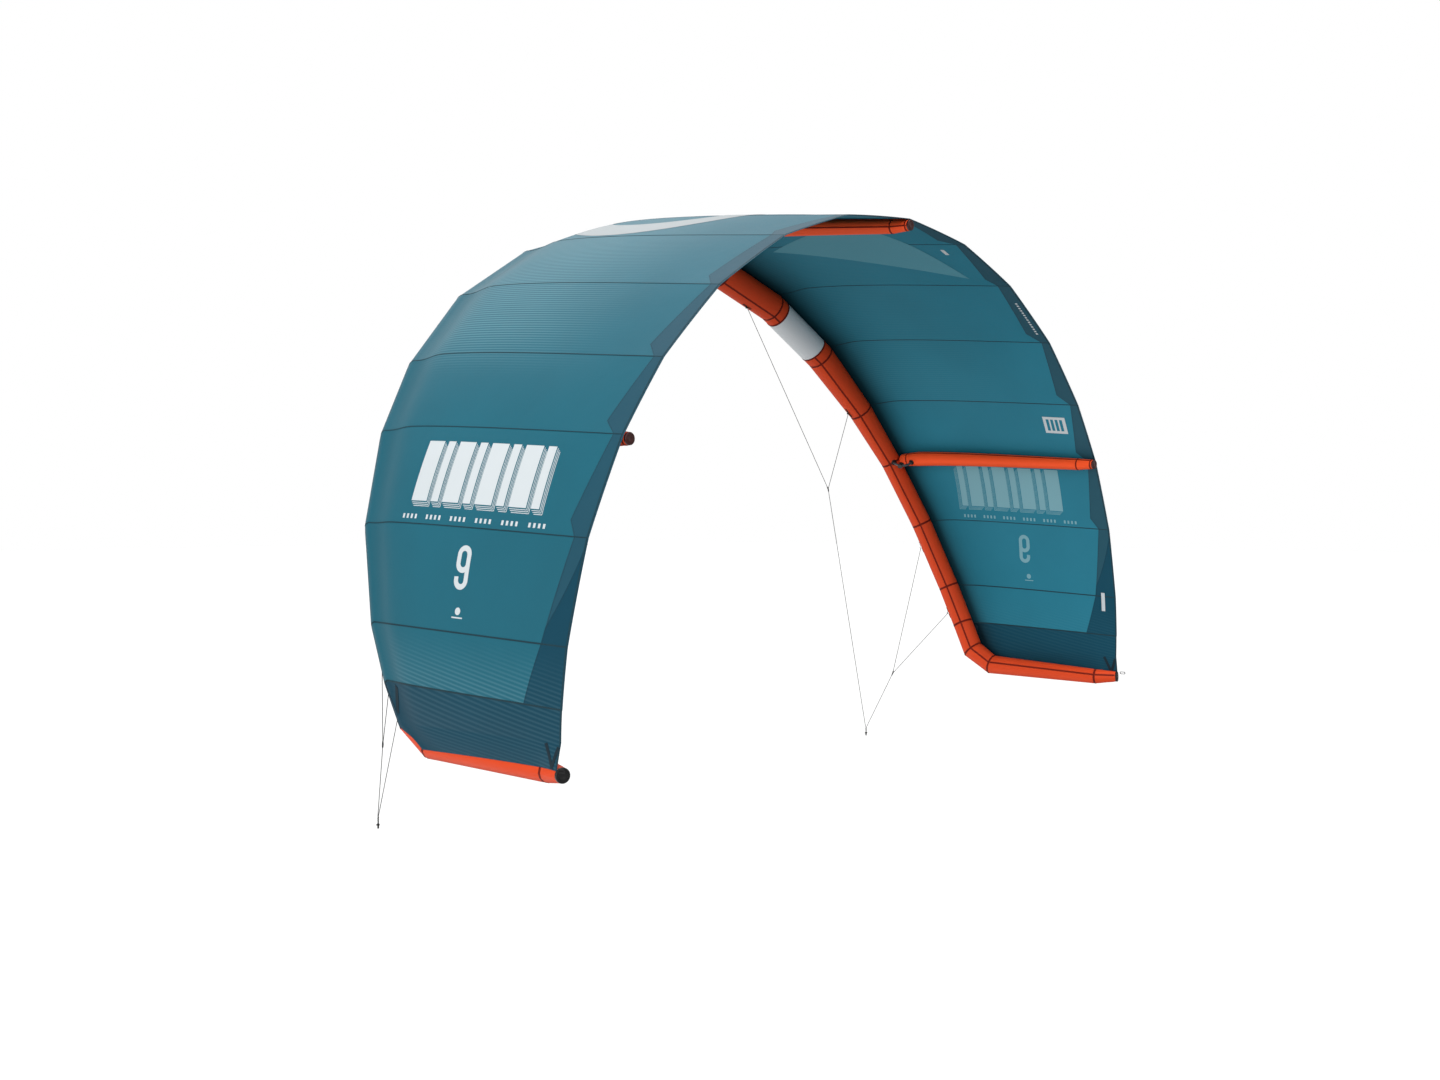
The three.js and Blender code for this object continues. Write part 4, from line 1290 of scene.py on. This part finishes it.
def add_tube_seams():
    tapes, stitches = [], []
    rings = [s * j for j in range(1, LAST_JOINT) for s in (-1, 1)] + [1e-6]
    rings += [s * w for w in WHITE_BAND for s in (-1, 1)]
    for station in rings:
        tapes.append(ring_tape(station, 0.0045, TAPE_LIFT))
        for offset in (-0.0052, 0.0052):
            def stitch(t, aside, station=station, offset=offset):
                return tube_point(slide(station, offset + aside), 2 * math.pi * t, 0.0009)
            stitches.append(zigzag_parts(stitch, 2 * math.pi * tube_at(station)[1], 0.005, 0.0011))
    for start, end in ((-11.97, -WHITE_BAND[1]), (-WHITE_BAND[0], WHITE_BAND[0]), (WHITE_BAND[1], 11.97)):
        stations = stations_between(start, end)
        strip = []
        for station in stations:
            half = 0.0030 / tube_at(station)[1]
            strip.append([tube_point(station, TUBE_SEAM_TURN + a * half, h) for a, h in TAPE_EDGE])
        tapes.append(loft_parts(strip))
        for offset in (-0.0045, 0.0045):
            def stitch(t, aside, start=start, end=end, offset=offset):
                station = mix(start, end, t)
                return tube_point(station, TUBE_SEAM_TURN + (offset + aside) / tube_at(station)[1], 0.0004)
            length = abs(tube_distance(end) - tube_distance(start))
            stitches.append(zigzag_parts(stitch, length, 0.006, 0.0011))
    made = (("le_seam_tape", tapes, ORANGE_TAPE), ("le_stitching", stitches, THREAD_RED))
    for name, parts, material in made:
        points, faces = joined(parts)
        put_mesh(name, points, faces, material, "sleeve_orange", uvs=plain_map(points), sharp=60)


def cap_profile(radius, plug):
    return [(0.0, 0.0112), (radius * 0.30, 0.0112), (radius * 0.34, 0.0120), (radius * 0.62, 0.0120),
            (radius * 0.65, 0.0108), (radius * 0.72, 0.0108), (radius * 0.75, 0.0120),
            (radius - 0.0035, 0.0120),
            (radius - 0.0016, 0.0113), (radius - 0.0004, 0.0096), (radius, 0.0075), (radius, 0.0010),
            (radius - 0.0010, 0.0), (plug, 0.0), (plug, -0.016), (plug - 0.001, -0.018), (0.0, -0.018)]


def grip(count, level, low, high, depth):
    """Grooves round a turned piece between two heights, for lathe's wave."""
    def wave(turn, height):
        return -depth if math.sin(count * turn) > level and low < height < high else 0
    return wave


def add_tip_caps():
    for sign, side in SIDES:
        mirror = vec(sign, 1, 1)
        heading = unit(JOINTS[LAST_JOINT][0] - JOINTS[LAST_JOINT - 1][0])
        mouth = (JOINTS[LAST_JOINT][0] + heading * 0.0004) * mirror
        lathe(f"wingtip_cap_cover_{side}", cap_profile(0.028, 0.022), mouth, heading * mirror, vec(0, 0, 1),
              BLACK, "cap_black", stands_for=[f"wingtip_cap_{side}"], wave=grip(24, 0.6, 0, 0.009, 0.012))


# ---------------------------------------------------------------- struts

STRUT_FRONT, STRUT_REAR, STRUT_END, CONE = 0.044, 0.030, 0.024, 0.090
STRUT_SIDES = 48


def strut_station(row, share):
    left = (1 - share) * row.chord
    radius = mix(STRUT_FRONT, STRUT_REAR, share)
    if left < CONE:
        radius = mix(STRUT_END, radius, left / CONE)
    slack = row.slack(share)
    centre = mix(row.nose, row.edge, share) + row.outward * (row.height(share) + slack / 2 - radius - 0.004)
    return centre, radius - slack / 2


def strut_shares(row):
    start, end = (row.radius + 0.008) / row.chord, 1 - 0.005 / row.chord
    cone = 1 - CONE / row.chord
    shares = list(np.linspace(start + 0.034, cone, 34)) + list(np.linspace(cone, end, 9))[1:]
    return start, shares


def strut_ring(row, share, lift=0.0, size=1.0):
    """Points round the strut; the first is its top, against the canopy."""
    centre, radius = strut_station(row, share)
    along = unit(strut_station(row, min(share + 0.01, 1))[0] - strut_station(row, share - 0.01)[0])
    top = unit(row.outward - along * (row.outward @ along))
    across = np.cross(along, top)
    away = (1 - CONE / row.chord - share) * row.chord
    ring = []
    for j in range(STRUT_SIDES):
        t = 2 * math.pi * j / STRUT_SIDES
        fold = 0.0005 * (math.sin(11 * t) + 0.6 * math.sin(17 * t + 1)) * math.exp(-(away / 0.03) ** 2)
        ring.append(centre + (top * math.cos(t) + across * math.sin(t)) * ((radius + lift) * size + fold))
    return ring


def add_strut(name, row, sign):
    mirror = vec(sign, 1, 1)
    start, shares = strut_shares(row)
    rings = [strut_ring(row, start + back, size=size) for back, size in
             ((-0.004, 0.40), (-0.0025, 0.58), (0.0, 0.74), (0.004, 0.86), (0.010, 0.95), (0.018, 0.99))]
    rings += [strut_ring(row, share) for share in shares]
    rings = [[p * mirror for p in ring] for ring in rings]
    points, faces = loft_parts(rings)
    place = [(share * row.chord, j * 0.0055) for share in [start] * 6 + shares for j in range(STRUT_SIDES)]
    put_mesh(f"strut_cloth_{name}", points, faces, STRUT_ORANGE_LIT, "sleeve_orange",
             stands_for=[f"strut_sleeve_{name}"], uvs={"cloth": place + place[:2]}, sharp=0)
    parts = []
    for share in (start + 0.034, 1 - CONE / row.chord, 1 - 0.012 / row.chord):
        step = 0.0035 / row.chord
        bands = [strut_ring(row, share + a * step, h) for a, h in TAPE_EDGE]
        parts.append(loft_parts([[p * mirror for p in ring] for ring in bands], caps=False))
    for t in (13, 35):
        path = [strut_ring(row, share, 0.0002)[t] * mirror for share in shares]
        spoke = path[0] - strut_station(row, shares[0])[0] * mirror
        parts.append(ribbon_parts(path, np.cross(path[-1] - path[0], spoke), 0.0028, 0.0004))
    out = row.outward * mirror
    web = [strut_ring(row, share)[0] * mirror + out * 0.0016
           for share in shares if share < 1 - 0.02 / row.chord]
    web_parts = ribbon_parts(web, np.cross(web[-1] - web[0], out), 0.0040, 0.0017)
    for label, found, material in (("seams", joined(parts), ORANGE_TAPE), ("web", web_parts, ORANGE)):
        put_mesh(f"strut_{label}_{name}", *found, material, "sleeve_orange", uvs=plain_map(found[0]))
    centre = strut_station(row, 1)[0] * mirror + vec(0, 0.005 - 0.0012, 0)
    lathe(f"strut_cap_cover_{name}", cap_profile(STRUT_END, STRUT_END - 0.006), centre, vec(0, -1, 0),
          vec(0, 0, 1), MAROON, "cap_black", stands_for=[f"strut_end_cap_{name}"])


# ---------------------------------------------------------------- air system

def bezier(a, b, c, d, t):
    return a * (1 - t) ** 3 + b * 3 * t * (1 - t) ** 2 + c * 3 * t * t * (1 - t) + d * t ** 3


def add_hose(name, row, sign):
    mirror = vec(sign, 1, 1)
    inward = -row.outward
    centre, radius = strut_station(row, 0.150 / row.chord)
    port = centre + inward * (radius + 0.0015)
    leave = unit(inward * math.sin(0.6) - row.forward * math.cos(0.6))
    start = row.nose + leave * (row.radius + 0.002)
    corners = (start, start + leave * 0.035 + inward * 0.0175, port + inward * 0.070, port)
    path = [bezier(*corners, t) * mirror for t in np.linspace(0, 1, 41)]
    radii = [0.0070 - (0.0003 if i % 2 else 0) for i in range(41)]
    put_mesh(f"hose_{name}", *round_tube_parts(path, radii, 32), HOSE, "hose_grey",
             stands_for=[f"inflation_hose_{name}"], sharp=60)
    for label, at, way in (("tube", start, leave), ("strut", port, inward)):
        flange = [(0.0072, 0.0022), (0.0086, 0.0060), (0.0098, 0.0062), (0.0104, 0.0030), (0.0150, 0.0012),
                  (0.0160, -0.0006), (0.0160, -0.0030), (0.0072, -0.0030), (0.0072, 0.0022)]
        lathe(f"hose_collar_{label}_{name}", flange, at * mirror, way * mirror, vec(0, 1, 0), BLACK,
              "cap_black", sides=48)
    for kind in ("base", "lever"):
        node = frame["nodes"][f"hose_clip_{kind}_{name}"]
        soften(node, 0.0009)
        paint(node, BLACK)


def paint(node, material):
    node.data.materials.clear()
    node.data.materials.append(material)


def soften(node, width):
    edge = node.modifiers.new("rounded_edges", "BEVEL")
    edge.width, edge.segments, edge.limit_method = width, 3, "ANGLE"
    edge.harden_normals = False


def add_valve():
    seat = vec(-0.26939, 1.47798, -0.06479)
    ax, ay, az = basis(vec(0.09398, -0.57277, -0.81431), vec(0.99557, 0.05407, 0.07687))
    body = [(0.0100, 0.0), (0.0232, 0.0), (0.0240, 0.0008), (0.0240, 0.0018), (0.0233, 0.0025),
            (0.0172, 0.0025), (0.0158, 0.0036), (0.0150, 0.0050)]
    body += [(0.0150 - (0.0006 if i % 2 else 0), 0.0055 + 0.0008 * i) for i in range(9)]
    body += [(0.0150, 0.0130), (0.0143, 0.0140), (0.0108, 0.0140), (0.0100, 0.0131), (0.0100, 0.0)]
    lathe("valve_body", body, seat, az, ax, BLACK, "cap_black", stands_for=["inflation_valve_body"])
    flap = [(0.0, 0.0040), (0.0102, 0.0046), (0.0102, 0.0030), (0.0, 0.0024)]
    lathe("valve_flap", flap, seat, az, ax, HOSE, "cap_black")
    hinge = vec(-0.26802, 1.48925, -0.09048)
    middle = hinge + ay * 0.024
    lid = [(0.0, 0.0032), (0.0070, 0.0032), (0.0085, 0.0040), (0.0138, 0.0040), (0.0148, 0.0033),
           (0.0150, 0.0022), (0.0150, 0.0006), (0.0144, 0.0), (0.0, 0.0)]
    lathe("valve_cap_lid", lid, middle, az, ax, BLACK, "cap_black", "valve_cap", ["inflation_valve_cap"],
          wave=grip(30, 0.5, 0.001, 0.0036, 0.02))
    bends = ((0.0, 0.0010), (0.0015, 0.0024), (0.004, 0.0028), (0.012, 0.0028))
    strap = [hinge + ay * a + az * h for a, h in bends]
    put_mesh("valve_cap_strap", *ribbon_parts(strap, ax, 0.0045, 0.0009), BLACK, "cap_black", "valve_cap",
             sharp=50)
    rings = []
    levels = [(mix(0.012, 0.044, j / 6), 0.0012) for j in range(7)] + [(0.047, 0.0008), (0.047, -0.002)]
    for reach, lift in levels:
        ring = []
        for j in range(48):
            t = 2 * math.pi * j / 48
            station = -0.6 - reach * math.cos(t) / STRETCHES[0]
            ring.append(tube_point(station, TUBE_SEAM_TURN + reach * math.sin(t) / 0.080, lift))
        rings.append(ring)
    points, faces = loft_parts(rings, caps=False)
    put_mesh("valve_patch", points, faces, ORANGE_TAPE, "sleeve_orange", uvs=plain_map(points), sharp=50)


add_sleeves()
add_tube_seams()
add_tip_caps()
for label, row, sign in (("center", ROWS[0], 1), ("left", ROWS[5], -1), ("right", ROWS[5], 1)):
    add_strut(label, row, sign)
    add_hose(label, row, sign)
    paint(frame["nodes"][f"strut_bladder_{label}"], FILM)
paint(frame["nodes"]["le_bladder"], FILM)
add_valve()
for sign, side in SIDES:
    loop = frame["nodes"][f"rear_loop_{side}"]
    soften(loop, 0.0007)
    paint(loop, WEBBING)


# ---------------------------------------------------------------- floor and light

AMBIENT = 0.55
FLOOR_HEIGHT, FLOOR_REACH = -5, 150

floor_mesh = bpy.data.meshes.new("floor")
corners = [(x * FLOOR_REACH, y * FLOOR_REACH, FLOOR_HEIGHT) for x, y in ((-1, -1), (1, -1), (1, 1), (-1, 1))]
floor_mesh.from_pydata(corners, [], [(0, 1, 2, 3)])
floor = bpy.data.objects.new("floor", floor_mesh)
scene.collection.objects.link(floor)
plain = bpy.data.materials.new("floor_plain")
plain.use_nodes = True
shader = plain.node_tree.nodes["Principled BSDF"]
shader.inputs["Base Color"].default_value = (0.30, 0.30, 0.30, 1)
shader.inputs["Roughness"].default_value = 1.0
shader.inputs["Specular IOR Level"].default_value = 0.0
shader.inputs["Emission Color"].default_value = (1, 1, 1, 1)
shader.inputs["Emission Strength"].default_value = 0.70
floor_mesh.materials.append(plain)
floor.visible_diffuse = floor.visible_glossy = False
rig.stage(floor)

world = bpy.data.worlds.new("studio")
world.use_nodes = True
backdrop = world.node_tree.nodes["Background"]
backdrop.inputs["Color"].default_value = (1, 1, 1, 1)
seen = world.node_tree.nodes.new("ShaderNodeLightPath")
level = world.node_tree.nodes.new("ShaderNodeMapRange")
level.inputs["To Min"].default_value, level.inputs["To Max"].default_value = AMBIENT, 1.0
world.node_tree.links.new(seen.outputs["Is Camera Ray"], level.inputs["Value"])
world.node_tree.links.new(level.outputs["Result"], backdrop.inputs["Strength"])
scene.world = world


def add_sun(name, strength, soft, azimuth, elevation):
    """A far soft light, from an azimuth counted from +Y towards +X and a height above the horizon."""
    light = bpy.data.lights.new(name, "SUN")
    light.energy, light.angle = strength, math.radians(soft)
    obj = bpy.data.objects.new(name, light)
    a, e = math.radians(azimuth), math.radians(elevation)
    toward = Vector((math.sin(a) * math.cos(e), math.cos(a) * math.cos(e), math.sin(e)))
    obj.rotation_euler = toward.to_track_quat("Z", "Y").to_euler()
    scene.collection.objects.link(obj)


add_sun("key", 0.8, 50, 25, 50)
add_sun("front", 1.3, 60, -20, -40)
add_sun("side", 2.0, 60, -98, 8)
add_sun("overhead", 1.7, 50, -165, 62)
scene.view_settings.view_transform = "Standard"

low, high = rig.bounds()
with open("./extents.json", "w") as out:
    json.dump({"cad": [list(cad_box[0]), list(cad_box[1])], "visual": [list(low), list(high)]}, out)
